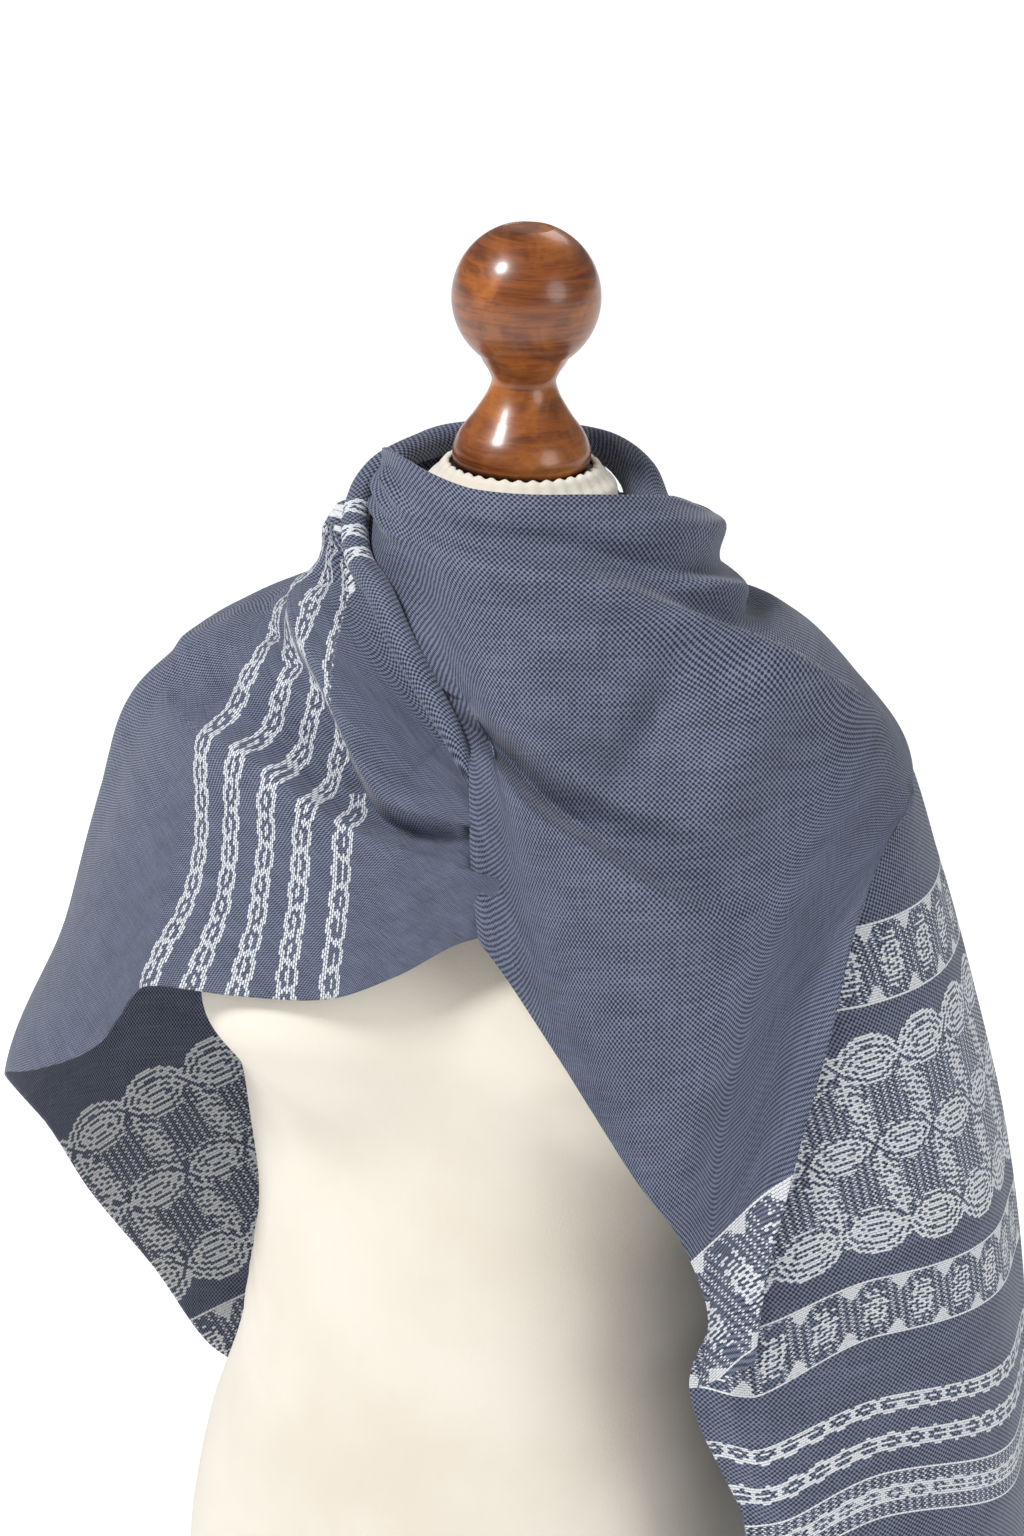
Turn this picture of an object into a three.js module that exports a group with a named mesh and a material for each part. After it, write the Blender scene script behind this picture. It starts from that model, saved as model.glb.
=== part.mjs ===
// Silk shawl draped on a limbless dress form with a turned wooden finial.
// Millimetres, +Z up. The neck axis is the Z axis, the front faces -Y, and z = 0 is the
// underside of the base board. An angle is counted round the axis from the front,
// and grows towards +X. The shawl is one long cloth, split where it passes out of sight.
import * as THREE from 'three';

// Driving dimensions
const CLOTH_WALL = 1.6;
const SEAM_GAP = 0.3;
const BODY_CLEARANCE = 2.4;
const BLEND_RADIUS = 3;
const BOARD_HEIGHT = 12;
const BOARD_INSET = 3;
const NECK_TOP = 770;
const PLATE_RADIUS = 43;
const PLATE_HEIGHT = 1.6;
const BALL_RADIUS = 40.5;
const BALL_CENTRE_UP = 94;
const BALL_FLAT_RADIUS = 14;
const SEAM_ANGLE = -98.3;
// Rough distance of the cloth from the axis, to weigh a turn against a height
const USUAL_RADIUS = 150;

// Smoothness of the faceted solids
const AROUND_FORM = 36;
const AROUND_FINIAL = 28;
const AROUND_ROLL = 8;
const ROLL_STEPS = 50;
const SMOOTH_ANGLE = 4;
const SMOOTH_RISE = 6;
const ROUTE_STEPS = 20;
const BALL_STEPS = 12;
const CONE_LEVELS = [0, 3, 8, 16, 24, 32, 40, 48, 53];

// A short table: named columns, one row for each section
function table(columns, rows) {
  const names = columns.split(' ');
  return rows.map((row) => Object.fromEntries(names.map((name, i) => [name, row[i]])));
}

// Finial below its ball: height over the foot and radius
const CONE_PROFILE = table('up radius', [
  [0, 34],
  [3, 37.4],
  [8, 38],
  [16, 35.5],
  [30, 26],
  [42, 19.2],
  [48, 17.5],
  [53, 19.3],
  [58, 22.5],
]);

// Half widths of the jersey form at each height, and how square its section is
const FORM_SECTIONS = table('z left right front back square', [
  [12, 176, 168, 150, 78, 2.2],
  [60, 180, 172, 153, 86, 2.2],
  [110, 178, 170, 152, 92, 2.2],
  [180, 168, 156, 144, 84, 2.2],
  [245, 149, 138, 136, 60, 2.2],
  [290, 141, 130, 132, 49, 2.2],
  [335, 138, 130, 131, 54, 2.2],
  [400, 146, 140, 130, 74, 2.2],
  [500, 156, 152, 134, 96, 2.2],
  [560, 157, 157, 118, 104, 2.2],
  [620, 172, 172, 96, 104, 2.3],
  [642, 183, 183, 87, 95, 2.3],
  [655, 183, 183, 82, 88, 2.3],
  [666, 172, 172, 77, 82, 2.2],
  [677, 150, 150, 73, 77, 2.2],
  [690, 112, 112, 68, 71, 2.1],
  [704, 77, 77, 62, 65, 2],
  [722, 58, 58, 57, 58, 2],
  [745, 54, 54, 54, 54, 2],
  [762, 53, 53, 53, 53, 2],
  [770, 46, 46, 46, 46, 2],
]);
const BUST = { angle: 40, spread: 27, z: 484, above: 76, below: 44, height: 42 };

// Half widths of the drape that the cloth follows
const DRAPE_SECTIONS = table('z left right front back square', [
  [20, 300, 318, 190, 190, 2.2],
  [180, 300, 312, 185, 185, 2.2],
  [300, 298, 300, 178, 178, 2.2],
  [385, 292, 286, 172, 172, 2.2],
  [480, 256, 262, 168, 158, 2.2],
  [560, 226, 238, 152, 148, 2.2],
  [620, 206, 214, 126, 134, 2.3],
  [655, 180, 184, 108, 118, 2.4],
  [675, 158, 166, 100, 108, 2.3],
  [695, 118, 134, 92, 100, 2.2],
  [715, 92, 118, 84, 92, 2],
  [745, 78, 98, 74, 82, 2],
  [776, 74, 74, 65, 72, 2],
]);

// Panels of the shawl. A rib runs from the neck to the hem: at is its place across the
// panel, gap is how far it is moved sideways at a seam, and each stop on its path is an
// angle, a height and how far the cloth stands off the drape.
const STRIPED_RIBS = table('at gap path', [
  [0, SEAM_GAP, [[SEAM_ANGLE, 750, 0], [SEAM_ANGLE, 324, 0]]],
  [0.1, 0, [[-89, 743, 0], [-83, 388, 0]]],
  [0.2, 0, [[-80, 731, 0], [-71, 417, 0]]],
  [0.3, 0, [[-68, 724, 0], [-60, 452, 0]]],
  [0.38, 0, [[-57, 718, 0], [-54, 494, 0]]],
  [0.52, 0, [[-40, 706, 0], [-38, 505, 0]]],
  [0.66, 0, [[-26, 688, 0], [-22, 513, 0]]],
  [0.79, 0, [[-14, 666, 0], [-9, 531, 0]]],
  [0.9, 0, [[-5, 650, 0], [3, 552, 0]]],
  [1, 0, [[10, 630, 0], [14, 562, 0]]],
]);
const PLAIN_RIBS = table('at gap path', [
  [0, 0, [[-80, 769, 0.6], [-70, 748, 0.6], [-57, 733, 0.7], [-44, 719, 0.7], [-31, 704, 0.7],
    [-12, 680, 0.8], [0, 657, 1.4], [2, 645, 2.8], [3, 630, 3.2], [4, 594, 3.4], [7, 554, 3.4]]],
  [0.12, 0, [[-52, 774, 2], [-30, 730, 2], [-6, 684, 2.4], [6, 650, 3], [9, 600, 3.4], [12, 538, 3.4]]],
  [0.3, 0, [[-8, 776, 3], [2, 700, 3], [12, 640, 3], [17, 570, 3], [22, 496, 3]]],
  [0.5, 0, [[32, 776, 4], [32, 690, 3], [30, 600, 3], [30, 510, 3], [33, 437, 3]]],
  [0.7, 0, [[78, 771, 5], [68, 700, 3], [58, 620, 3], [48, 540, 4], [43, 460, 4], [41, 392, 4]]],
  [0.82, 0, [[108, 749, 6], [94, 700, 4], [76, 640, 3], [60, 580, 4], [50, 510, 5], [46, 440, 5],
    [44, 350, 4]]],
  [0.92, 0, [[134, 739, 6], [118, 700, 7], [96, 655, 5], [76, 610, 3.4], [62, 560, 4], [54, 508, 5],
    [50, 444, 5], [47, 388, 5], [42.5, 312, 4]]],
  [1, 0, [[156, 734, 5], [140, 700, 6], [118, 655, 7], [102, 628, 6], [92, 612, 5], [79, 600, 4],
    [68, 568, 5], [59, 508, 6], [54, 444, 6], [51, 388, 6], [49.5, 326, 5]]],
]);
const TAIL_RIBS = table('at gap path', [
  [0, 0, [[60, 590, 0], [52, 500, 0], [47, 410, 0], [45, 350, 0], [42, 305, 0], [43, 285, 0],
    [46, 255, 0], [49, 222, 0], [50, 150, 0], [51, 46, 0]]],
  [0.16, 0, [[74, 604, 0], [66, 46, 0]]],
  [0.4, 0, [[92, 626, 0.6], [88, 48, 0]]],
  [0.58, 0, [[103, 648, 3.2], [104, 52, 2.6]]],
  [0.8, 0, [[117, 678, 3.8], [125, 57, 3.4]]],
  [1, 0, [[128, 700, 3], [135, 590, 3.2], [140, 450, 3.4], [143, 290, 3.4], [144, 150, 3.4],
    [142, 62, 3.4]]],
]);
const BACK_RIBS = table('at gap path', [
  [0, 0, [[106, 640, 0], [112, 530, 0], [116, 360, 0], [118, 66, 0]]],
  [0.12, 0, [[124, 680, 0], [131, 66, 0]]],
  [0.25, 0, [[146, 718, 0], [149, 68, 0]]],
  [0.4, 0, [[166, 764, 2.5], [168, 76, 0]]],
  [0.6, 0, [[200, 766, 2.5], [196, 88, 0]]],
  [0.77, 0, [[230, 765, 2.5], [226, 100, 0]]],
  [0.84, 0, [[239, 763, 2], [236, 128, 0]]],
  [0.91, 0, [[248, 758, 0.5], [245, 198, 0]]],
  [0.96, 0, [[255, 753, 0], [253, 256, 0]]],
  [1, -SEAM_GAP, [[360 + SEAM_ANGLE, 750, 0], [360 + SEAM_ANGLE, 324, 0]]],
]);

// Folds. A stop on a route is an angle, a height and how far the cloth stands out there;
// left and right are the widths of its two slopes, seen along the route.
const PLAIN_FOLDS = table('name left right route', [
  ['cowl ridge', 8, 10, [[40, 758, 0], [55, 757, 2], [69, 756, 3], [88, 748, 5], [112, 738, 6],
    [134, 732, 4], [150, 728, 0]]],
  ['shoulder cushion', 9, 13, [[26, 737, 0], [40, 736, 2], [55, 734, 5], [74, 730, 11], [90, 721, 18],
    [104, 711, 22], [125, 704, 16], [142, 698, 3], [150, 696, 0]]],
  ['long shoulder ridge', 9, 17, [[5, 748, 0], [32, 730, 4], [48, 728, 7], [61, 716, 9], [72, 702, 10],
    [79, 688, 9], [83, 676, 8], [91, 654, 5], [97, 636, 0]]],
  ['main swag', 20, 8, [[2, 657, 0], [7, 648, 5], [12, 640, 8], [20, 628, 9], [26, 614, 9],
    [35, 592, 8], [45, 576, 7], [56, 572, 4], [66, 578, 0]]],
  ['front edge', 6, 8, [[2, 640, 0], [4, 620, 1.5], [5, 600, 2], [7, 556, 1]]],
]);
const UNDER_FOLDS = table('name left right route', [
  ['deep crease', 8, 8, [[-86, 682, 0], [-74, 683, -4], [-62, 682, -6], [-49, 674, -7], [-41, 664, -7],
    [-35, 650, -7], [-30, 636, -7], [-25, 622, -7], [-21, 612, -8], [-15, 605, -8], [-2, 604, -3]]],
  ['lower ridge', 9, 16, [[-70, 628, 0], [-61, 628, 4], [-51, 626, 7], [-43, 623, 8], [-38, 617, 9],
    [-32, 613, 9], [-24, 606, 8], [-8, 596, 5], [2, 592, 0]]],
  ['swag by the roll', 12, 12, [[-76, 706, 0], [-64, 700, 4], [-52, 690, 6], [-37, 673, 9],
    [-26, 652, 10], [-17, 632, 8], [-8, 622, 3]]],
  ['bump by the neck', 10, 12, [[-118, 732, 0], [-110, 735, 9], [-98, 738, 18], [-89, 736, 20],
    [-80, 727, 13], [-70, 716, 3], [-64, 712, 0]]],
  ['tail edge', 16, 20, [[50, 380, 0], [46, 345, -6], [43, 305, -16], [46, 255, -16], [49, 222, -14],
    [51, 46, -12]]],
  ['side fold', 30, 22, [[97, 560, 0], [99, 420, 4], [101, 250, 8], [102, 40, 12]]],
  ['back fold one', 26, 34, [[126, 640, 0], [130, 440, 8], [129, 240, 13], [128, 40, 16]]],
  ['back fold two', 30, 24, [[155, 690, 0], [160, 500, 7], [161, 300, 12], [162, 60, 15]]],
  ['back fold three', 24, 32, [[186, 720, 0], [185, 520, 6], [188, 330, 10], [190, 70, 15]]],
  ['back fold four', 28, 26, [[214, 710, 0], [214, 520, 7], [216, 340, 12], [214, 90, 14]]],
]);

// The rolled edge: from inside the cowl, round behind the neck and down across the front
const ROLL_SECTIONS = table('angle z lift radius', [
  [88, 757, -13, 4],
  [104, 762, -11, 6],
  [125, 769, -6, 8],
  [155, 771, -4, 8.5],
  [190, 771, -4, 8.5],
  [225, 771, -5, 8.5],
  [245, 770, -6, 8],
  [258, 768, -3, 7.5],
  [268, 761, 5, 7.5],
  [276, 750, 10, 7.5],
  [285, 739, 11, 7.5],
  [296, 729, 10, 7.5],
  [306, 722, 9.6, 7.5],
  [318, 715, 10.2, 7.5],
  [330, 702, 10.2, 7.5],
  [341, 684, 9.6, 7],
  [350, 666, 9.4, 6.5],
  [355, 653, 9, 5.5],
  [357, 646, 8, 4],
]);

const CLOTH_BLUE = 0x56627f;
const JERSEY_CREAM = 0xe9e2d6;
const WOOD_BROWN = 0x7a4526;
const PLATE_BLACK = 0x191613;
const BOARD_BEECH = 0xb98f62;

const radians = THREE.MathUtils.degToRad;
const clamp = THREE.MathUtils.clamp;

// Cubic through the given values that never swings past them
function smoothThrough(xs, ys) {
  const last = xs.length - 1;
  const step = xs.slice(1).map((x, i) => x - xs[i]);
  const rise = step.map((h, i) => (ys[i + 1] - ys[i]) / h);
  const slope = xs.map((x, i) => {
    if (i === 0) return rise[0];
    if (i === last) return rise[last - 1];
    if (rise[i - 1] * rise[i] <= 0) return 0;
    const before = 2 * step[i] + step[i - 1];
    const after = step[i] + 2 * step[i - 1];
    return (before + after) / (before / rise[i - 1] + after / rise[i]);
  });
  return (x) => {
    const at = clamp(x, xs[0], xs[last]);
    let i = 0;
    while (i < last - 1 && at > xs[i + 1]) i += 1;
    const t = (at - xs[i]) / step[i];
    const end = t * t * (3 - 2 * t);
    const bendStart = t * (1 - t) * (1 - t) * step[i];
    const bendEnd = t * t * (t - 1) * step[i];
    return ys[i] + (ys[i + 1] - ys[i]) * end + bendStart * slope[i] + bendEnd * slope[i + 1];
  };
}

// Radius of a rounded section with four half widths, at an angle and a height
function sectionRadius(sections) {
  const heights = sections.map((row) => row.z);
  const read = (name) => smoothThrough(heights, sections.map((row) => row[name]));
  const left = read('left');
  const right = read('right');
  const front = read('front');
  const back = read('back');
  const square = read('square');
  return (angle, z) => {
    const sine = Math.sin(radians(angle));
    const cosine = Math.cos(radians(angle));
    const side = sine < 0 ? left(z) : right(z);
    const depth = cosine > 0 ? front(z) : back(z);
    const power = square(z);
    const sum = Math.abs(sine / side) ** power + Math.abs(cosine / depth) ** power;
    return sum ** (-1 / power);
  };
}

const plainFormRadius = sectionRadius(FORM_SECTIONS);
const plainDrapeRadius = sectionRadius(DRAPE_SECTIONS);

function formRadius(angle, z) {
  const spreadUp = z > BUST.z ? BUST.above : BUST.below;
  const turn = ((((angle + 180) % 360) + 360) % 360) - 180;
  const swell = (centre) => {
    const aside = (turn - centre) / BUST.spread;
    const upward = (z - BUST.z) / spreadUp;
    return BUST.height * Math.exp(-(aside ** 2) - upward ** 2);
  };
  return plainFormRadius(angle, z) + swell(-BUST.angle) + swell(BUST.angle);
}

// The drape hangs free, and rests on the form where the form is wider
function drapeRadius(angle, z) {
  const free = plainDrapeRadius(angle, z);
  const resting = formRadius(angle, Math.min(z, NECK_TOP - 2)) + BODY_CLEARANCE;
  const blend = BLEND_RADIUS * Math.log1p(Math.exp(-Math.abs(free - resting) / BLEND_RADIUS));
  return Math.max(free, resting) + blend;
}

function place(radius, angle, z) {
  const turn = radians(angle);
  return new THREE.Vector3(radius * Math.sin(turn), -radius * Math.cos(turn), z);
}

function onDrape(angle, z) {
  return place(drapeRadius(angle, z), angle, z);
}

function drapeNormal(angle, z) {
  const across = onDrape(angle + SMOOTH_ANGLE, z).sub(onDrape(angle - SMOOTH_ANGLE, z));
  const down = onDrape(angle, z - SMOOTH_RISE).sub(onDrape(angle, z + SMOOTH_RISE));
  return down.cross(across).normalize();
}

// A fold is a smooth line on the drape, and its shape is measured from that line
function readFold({ left, right, route }) {
  const steps = route.map((stop, i) => i);
  const [angle, height, rise] = [0, 1, 2].map((k) => smoothThrough(steps, route.map((stop) => stop[k])));
  const line = [];
  for (let i = 0; i <= ROUTE_STEPS; i += 1) {
    const at = (i / ROUTE_STEPS) * (route.length - 1);
    line.push({ point: onDrape(angle(at), height(at)), rise: rise(at) });
  }
  return { left, right, line };
}

function foldRise(fold, point, normal) {
  let nearest = Infinity;
  let rise = 0;
  let side = 0;
  for (let i = 0; i < fold.line.length - 1; i += 1) {
    const start = fold.line[i];
    const end = fold.line[i + 1];
    const along = end.point.clone().sub(start.point);
    const offset = point.clone().sub(start.point);
    const t = clamp(offset.dot(along) / along.lengthSq(), 0, 1);
    const away = offset.addScaledVector(along, -t);
    const distance = away.length();
    if (distance < nearest) {
      nearest = distance;
      rise = start.rise + (end.rise - start.rise) * t;
      side = along.cross(away).normalize().dot(normal);
    }
  }
  const width = fold.right + (fold.left - fold.right) * (0.5 + 0.5 * side);
  return rise * Math.exp(-((nearest / width) ** 2));
}

// A rib read from neck to hem, by its share of the way along
function readRib(path) {
  const way = [0];
  for (let i = 1; i < path.length; i += 1) {
    const turn = radians(path[i][0] - path[i - 1][0]) * USUAL_RADIUS;
    way.push(way[i - 1] + Math.hypot(turn, path[i][1] - path[i - 1][1]));
  }
  const share = way.map((length) => length / way[way.length - 1]);
  return [0, 1, 2].map((k) => smoothThrough(share, path.map((stop) => stop[k])));
}

// Grid of points on the cloth's inner side
function clothGrid(ribs, folds, across, down) {
  const lines = ribs.map((rib) => readRib(rib.path));
  const places = ribs.map((rib) => rib.at);
  const gap = smoothThrough(places, ribs.map((rib) => rib.gap));
  const ready = folds.map(readFold);
  const grid = [];
  for (let j = 0; j <= down; j += 1) {
    const v = j / down;
    const angle = smoothThrough(places, lines.map((line) => line[0](v)));
    const height = smoothThrough(places, lines.map((line) => line[1](v)));
    const lift = smoothThrough(places, lines.map((line) => line[2](v)));
    const row = [];
    for (let i = 0; i <= across; i += 1) {
      const u = i / across;
      const turn = angle(u) + THREE.MathUtils.radToDeg(gap(u) / drapeRadius(angle(u), height(u)));
      const point = onDrape(turn, height(u));
      const normal = drapeNormal(turn, height(u));
      const rise = ready.reduce((sum, fold) => sum + foldRise(fold, point, normal), lift(u));
      row.push(point.addScaledVector(normal, rise));
    }
    grid.push(row);
  }
  return grid;
}

function gridNormal(grid, i, j) {
  const above = grid[Math.max(j - 1, 0)][i];
  const below = grid[Math.min(j + 1, grid.length - 1)][i];
  const before = grid[j][Math.max(i - 1, 0)];
  const after = grid[j][Math.min(i + 1, grid[j].length - 1)];
  return below.clone().sub(above).cross(after.clone().sub(before)).normalize();
}

function closedGeometry(points, faces) {
  const geometry = new THREE.BufferGeometry();
  geometry.setFromPoints(points);
  geometry.setIndex(faces.flat());
  geometry.computeVertexNormals();
  return geometry;
}

// Cloth of even thickness: the inner grid, its points moved out, and a rim round both
function clothWall(grid) {
  const rows = grid.length;
  const columns = grid[0].length;
  const inner = grid.flat();
  const outer = grid.flatMap((row, j) => row.map((point, i) => {
    return point.clone().addScaledVector(gridNormal(grid, i, j), CLOTH_WALL);
  }));
  const faces = [];
  const quad = (a, b, c, d) => faces.push([a, b, c], [a, c, d]);
  const at = (i, j) => j * columns + i;
  const shell = inner.length;
  for (let j = 0; j < rows - 1; j += 1) {
    for (let i = 0; i < columns - 1; i += 1) {
      quad(at(i, j), at(i + 1, j), at(i + 1, j + 1), at(i, j + 1));
      quad(shell + at(i, j), shell + at(i, j + 1), shell + at(i + 1, j + 1), shell + at(i + 1, j));
    }
  }
  const rim = [];
  for (let i = 0; i < columns - 1; i += 1) rim.push(at(i, 0));
  for (let j = 0; j < rows - 1; j += 1) rim.push(at(columns - 1, j));
  for (let i = columns - 1; i > 0; i -= 1) rim.push(at(i, rows - 1));
  for (let j = rows - 1; j > 0; j -= 1) rim.push(at(0, j));
  rim.forEach((start, k) => {
    const end = rim[(k + 1) % rim.length];
    quad(start, shell + start, shell + end, end);
  });
  return closedGeometry([...inner, ...outer], faces);
}

// Closed skin through rings of equal count, from the bottom or start to the top or end
function ringSkin(rings) {
  const count = rings[0].length;
  const points = rings.flat();
  const faces = [];
  for (let k = 0; k < rings.length - 1; k += 1) {
    for (let i = 0; i < count; i += 1) {
      const a = k * count + i;
      const b = k * count + ((i + 1) % count);
      faces.push([a, b, b + count], [a, b + count, a + count]);
    }
  }
  const cap = (ring, offset, flipped) => {
    const centre = new THREE.Vector3();
    ring.forEach((point) => centre.addScaledVector(point, 1 / count));
    const hub = points.push(centre) - 1;
    for (let i = 0; i < count; i += 1) {
      const a = offset + i;
      const b = offset + ((i + 1) % count);
      faces.push(flipped ? [hub, b, a] : [hub, a, b]);
    }
  };
  cap(rings[0], 0, true);
  cap(rings[rings.length - 1], (rings.length - 1) * count, false);
  return closedGeometry(points, faces);
}

function finish(colour, roughness, metalness = 0) {
  return new THREE.MeshStandardMaterial({ color: colour, roughness, metalness, side: THREE.DoubleSide });
}

function piece(name, geometry, material) {
  const mesh = new THREE.Mesh(geometry, material);
  mesh.name = name;
  return mesh;
}

// Jersey form: one smooth closed body from the board to the neck
function makeForm() {
  const levels = [BOARD_HEIGHT, 30, 60, 95, 130, 165, 200, 230, 260, 290, 320, 350, 380, 405, 430, 455,
    480, 505, 535, 565, 595, 622, 642, 655, 664, 672, 682, 694, 708, 724, 745, 762, NECK_TOP];
  const rings = levels.map((z) => {
    const level = z === BOARD_HEIGHT ? z + SEAM_GAP : z;
    return Array.from({ length: AROUND_FORM }, (unused, i) => {
      const angle = (i / AROUND_FORM) * 360;
      return place(formRadius(angle, level), angle, level);
    });
  });
  return piece('dress_form', ringSkin(rings), finish(JERSEY_CREAM, 0.9));
}

// Flat board that closes the form underneath, and what the part stands on
function makeBoard() {
  const rings = [0, BOARD_HEIGHT].map((z) => {
    return Array.from({ length: AROUND_FORM }, (unused, i) => {
      const angle = (i / AROUND_FORM) * 360;
      return place(formRadius(angle, BOARD_HEIGHT) - BOARD_INSET, angle, z);
    });
  });
  return piece('base_board', ringSkin(rings), finish(BOARD_BEECH, 0.55));
}

// Closed body turned round the neck axis from a profile of radius and height
function turned(profile) {
  const line = profile.map(([radius, z]) => new THREE.Vector2(radius, z));
  const geometry = new THREE.LatheGeometry(line, AROUND_FINIAL);
  geometry.rotateX(Math.PI / 2);
  return geometry;
}

// Dark plate between the neck and the finial
function makePlate() {
  const low = NECK_TOP + SEAM_GAP;
  const high = low + PLATE_HEIGHT;
  const profile = [[0, low], [PLATE_RADIUS, low], [PLATE_RADIUS, high], [0, high]];
  return piece('neck_plate', turned(profile), finish(PLATE_BLACK, 0.6));
}

// Turned finial: a cone with a rounded foot, a narrow waist and a ball with a small flat on top
function makeFinial() {
  const foot = NECK_TOP + PLATE_HEIGHT + 2 * SEAM_GAP;
  const side = smoothThrough(CONE_PROFILE.map((row) => row.up), CONE_PROFILE.map((row) => row.radius));
  const profile = [[0, foot]];
  CONE_LEVELS.forEach((up) => profile.push([side(up), foot + up]));
  const throat = CONE_PROFILE[CONE_PROFILE.length - 1].radius;
  const startTurn = Math.asin(throat / BALL_RADIUS);
  const endTurn = Math.PI - Math.asin(BALL_FLAT_RADIUS / BALL_RADIUS);
  for (let i = 0; i <= BALL_STEPS; i += 1) {
    const turn = startTurn + ((endTurn - startTurn) * i) / BALL_STEPS;
    const up = BALL_CENTRE_UP - BALL_RADIUS * Math.cos(turn);
    profile.push([BALL_RADIUS * Math.sin(turn), foot + up]);
  }
  profile.push([0, profile[profile.length - 1][1]]);
  return piece('ball_finial', turned(profile), finish(WOOD_BROWN, 0.38));
}

// Rolled edge of the shawl: a rope of cloth of changing thickness
function makeRoll() {
  const steps = ROLL_SECTIONS.map((row, i) => i);
  const read = (name) => smoothThrough(steps, ROLL_SECTIONS.map((row) => row[name]));
  const angle = read('angle');
  const z = read('z');
  const lift = read('lift');
  const radius = read('radius');
  const centreAt = (at) => {
    const normal = drapeNormal(angle(at), z(at));
    return onDrape(angle(at), z(at)).addScaledVector(normal, lift(at));
  };
  const last = ROLL_SECTIONS.length - 1;
  const rings = [];
  for (let k = 0; k <= ROLL_STEPS; k += 1) {
    const at = (k / ROLL_STEPS) * last;
    const centre = centreAt(at);
    const along = centreAt(Math.min(at + 0.05, last)).sub(centreAt(Math.max(at - 0.05, 0))).normalize();
    const side = along.clone().cross(drapeNormal(angle(at), z(at))).normalize();
    const up = along.clone().cross(side);
    rings.push(Array.from({ length: AROUND_ROLL }, (unused, i) => {
      const turn = (i / AROUND_ROLL) * Math.PI * 2;
      return centre.clone()
        .addScaledVector(side, radius(at) * Math.cos(turn))
        .addScaledVector(up, radius(at) * Math.sin(turn));
    }));
  }
  return piece('rolled_edge', ringSkin(rings), finish(CLOTH_BLUE, 0.85));
}

// The four open stretches of the shawl
const cloth = finish(CLOTH_BLUE, 0.85);
const sheet = (name, ribs, folds, across, down) => {
  return piece(name, clothWall(clothGrid(ribs, folds, across, down)), cloth.clone());
};

const group = new THREE.Group();
group.add(makeBoard(), makeForm(), makePlate(), makeFinial());
group.add(sheet('right_front', STRIPED_RIBS, UNDER_FOLDS, 22, 18));
group.add(sheet('left_front', PLAIN_RIBS, PLAIN_FOLDS, 28, 26));
group.add(sheet('back_sheet', BACK_RIBS, UNDER_FOLDS, 28, 18));
group.add(sheet('tail_sheet', TAIL_RIBS, UNDER_FOLDS, 20, 18));
group.add(makeRoll());

export default group;
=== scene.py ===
"""A woven silk shawl draped on a limbless dress form with a turned wooden finial.

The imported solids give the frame, and finer pieces of the same forms take their places: the
jersey, the varnished wood, and the cloth with its creases, weave and white brocade.
Tables are in millimetres. An angle is counted round the neck axis from the front, and grows
towards +X. The front faces -Y.
"""

import math
from functools import partialmethod

import bpy
import numpy as np
from mathutils import Matrix, Vector


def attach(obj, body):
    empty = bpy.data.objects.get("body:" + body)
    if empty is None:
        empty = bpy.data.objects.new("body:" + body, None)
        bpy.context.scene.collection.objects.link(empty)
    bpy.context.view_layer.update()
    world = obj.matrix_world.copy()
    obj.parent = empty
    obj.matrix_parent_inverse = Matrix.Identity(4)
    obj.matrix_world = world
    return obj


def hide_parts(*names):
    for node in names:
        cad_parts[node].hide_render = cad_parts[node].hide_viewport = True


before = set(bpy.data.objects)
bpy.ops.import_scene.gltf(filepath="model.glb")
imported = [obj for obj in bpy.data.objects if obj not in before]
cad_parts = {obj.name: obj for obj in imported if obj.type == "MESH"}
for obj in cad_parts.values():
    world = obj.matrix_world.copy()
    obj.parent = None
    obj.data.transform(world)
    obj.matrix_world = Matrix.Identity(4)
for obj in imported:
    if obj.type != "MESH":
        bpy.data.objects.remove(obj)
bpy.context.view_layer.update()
MM = 0.001


# The camera.
# It stands a little to the form's left and looks down on it through a long lens, tilted by
# less than two degrees.
CAMERA_TURN = math.radians(12)
CAMERA_DOWN = math.radians(20)
CAMERA_TILT = math.radians(1.75)
CAMERA_DISTANCE = 2.389
LOOK_AT = Vector((0, 0, 0.596))

away = Vector((
    math.sin(CAMERA_TURN) * math.cos(CAMERA_DOWN),
    -math.cos(CAMERA_TURN) * math.cos(CAMERA_DOWN),
    math.sin(CAMERA_DOWN),
))
level = Vector((math.cos(CAMERA_TURN), math.sin(CAMERA_TURN), 0))
upright = away.cross(level)
camera_right = level * math.cos(CAMERA_TILT) + upright * math.sin(CAMERA_TILT)
camera_up = upright * math.cos(CAMERA_TILT) - level * math.sin(CAMERA_TILT)
bpy.ops.object.camera_add(location=LOOK_AT + away * CAMERA_DISTANCE)
camera = bpy.context.object
camera.name = "camera"
camera.rotation_euler = Matrix((camera_right, camera_up, away)).transposed().to_euler()
camera.data.lens = 100
camera.data.sensor_width = 36
camera.data.clip_start = 0.1
camera.data.clip_end = 100
bpy.context.scene.camera = camera


# The studio.
# A pale floor that runs out of sight, a bright even room, and three soft lamps: the main one
# high at the viewer's left, a weaker one at the right and one from behind.
FLOOR_COLOUR = (0.93, 0.93, 0.93, 1)
WHITE = (1, 1, 1, 1)
ROOM_LIGHT = 0.2
NEAR_GLOW = 0.45
FAR_GLOW = 0.95
GLOW_FROM = 0.6
GLOW_TO = 5.0
FLOOR_REACH = 40
LAMPS = (
    # name, where it stands, what it faces, width, watts
    ("main_lamp", (-1.25, -1.15, 2.7), (0, 0, 0.5), 0.7, 64),
    ("side_lamp", (2.2, -1.2, 1.6), (0, 0, 0.5), 1.4, 19),
    ("rear_lamp", (0.3, 1.9, 2.4), (0, 0, 0.6), 1.2, 10),
)


def set_inputs(node, values):
    for name, value in values.items():
        node.inputs[name].default_value = value


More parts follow.
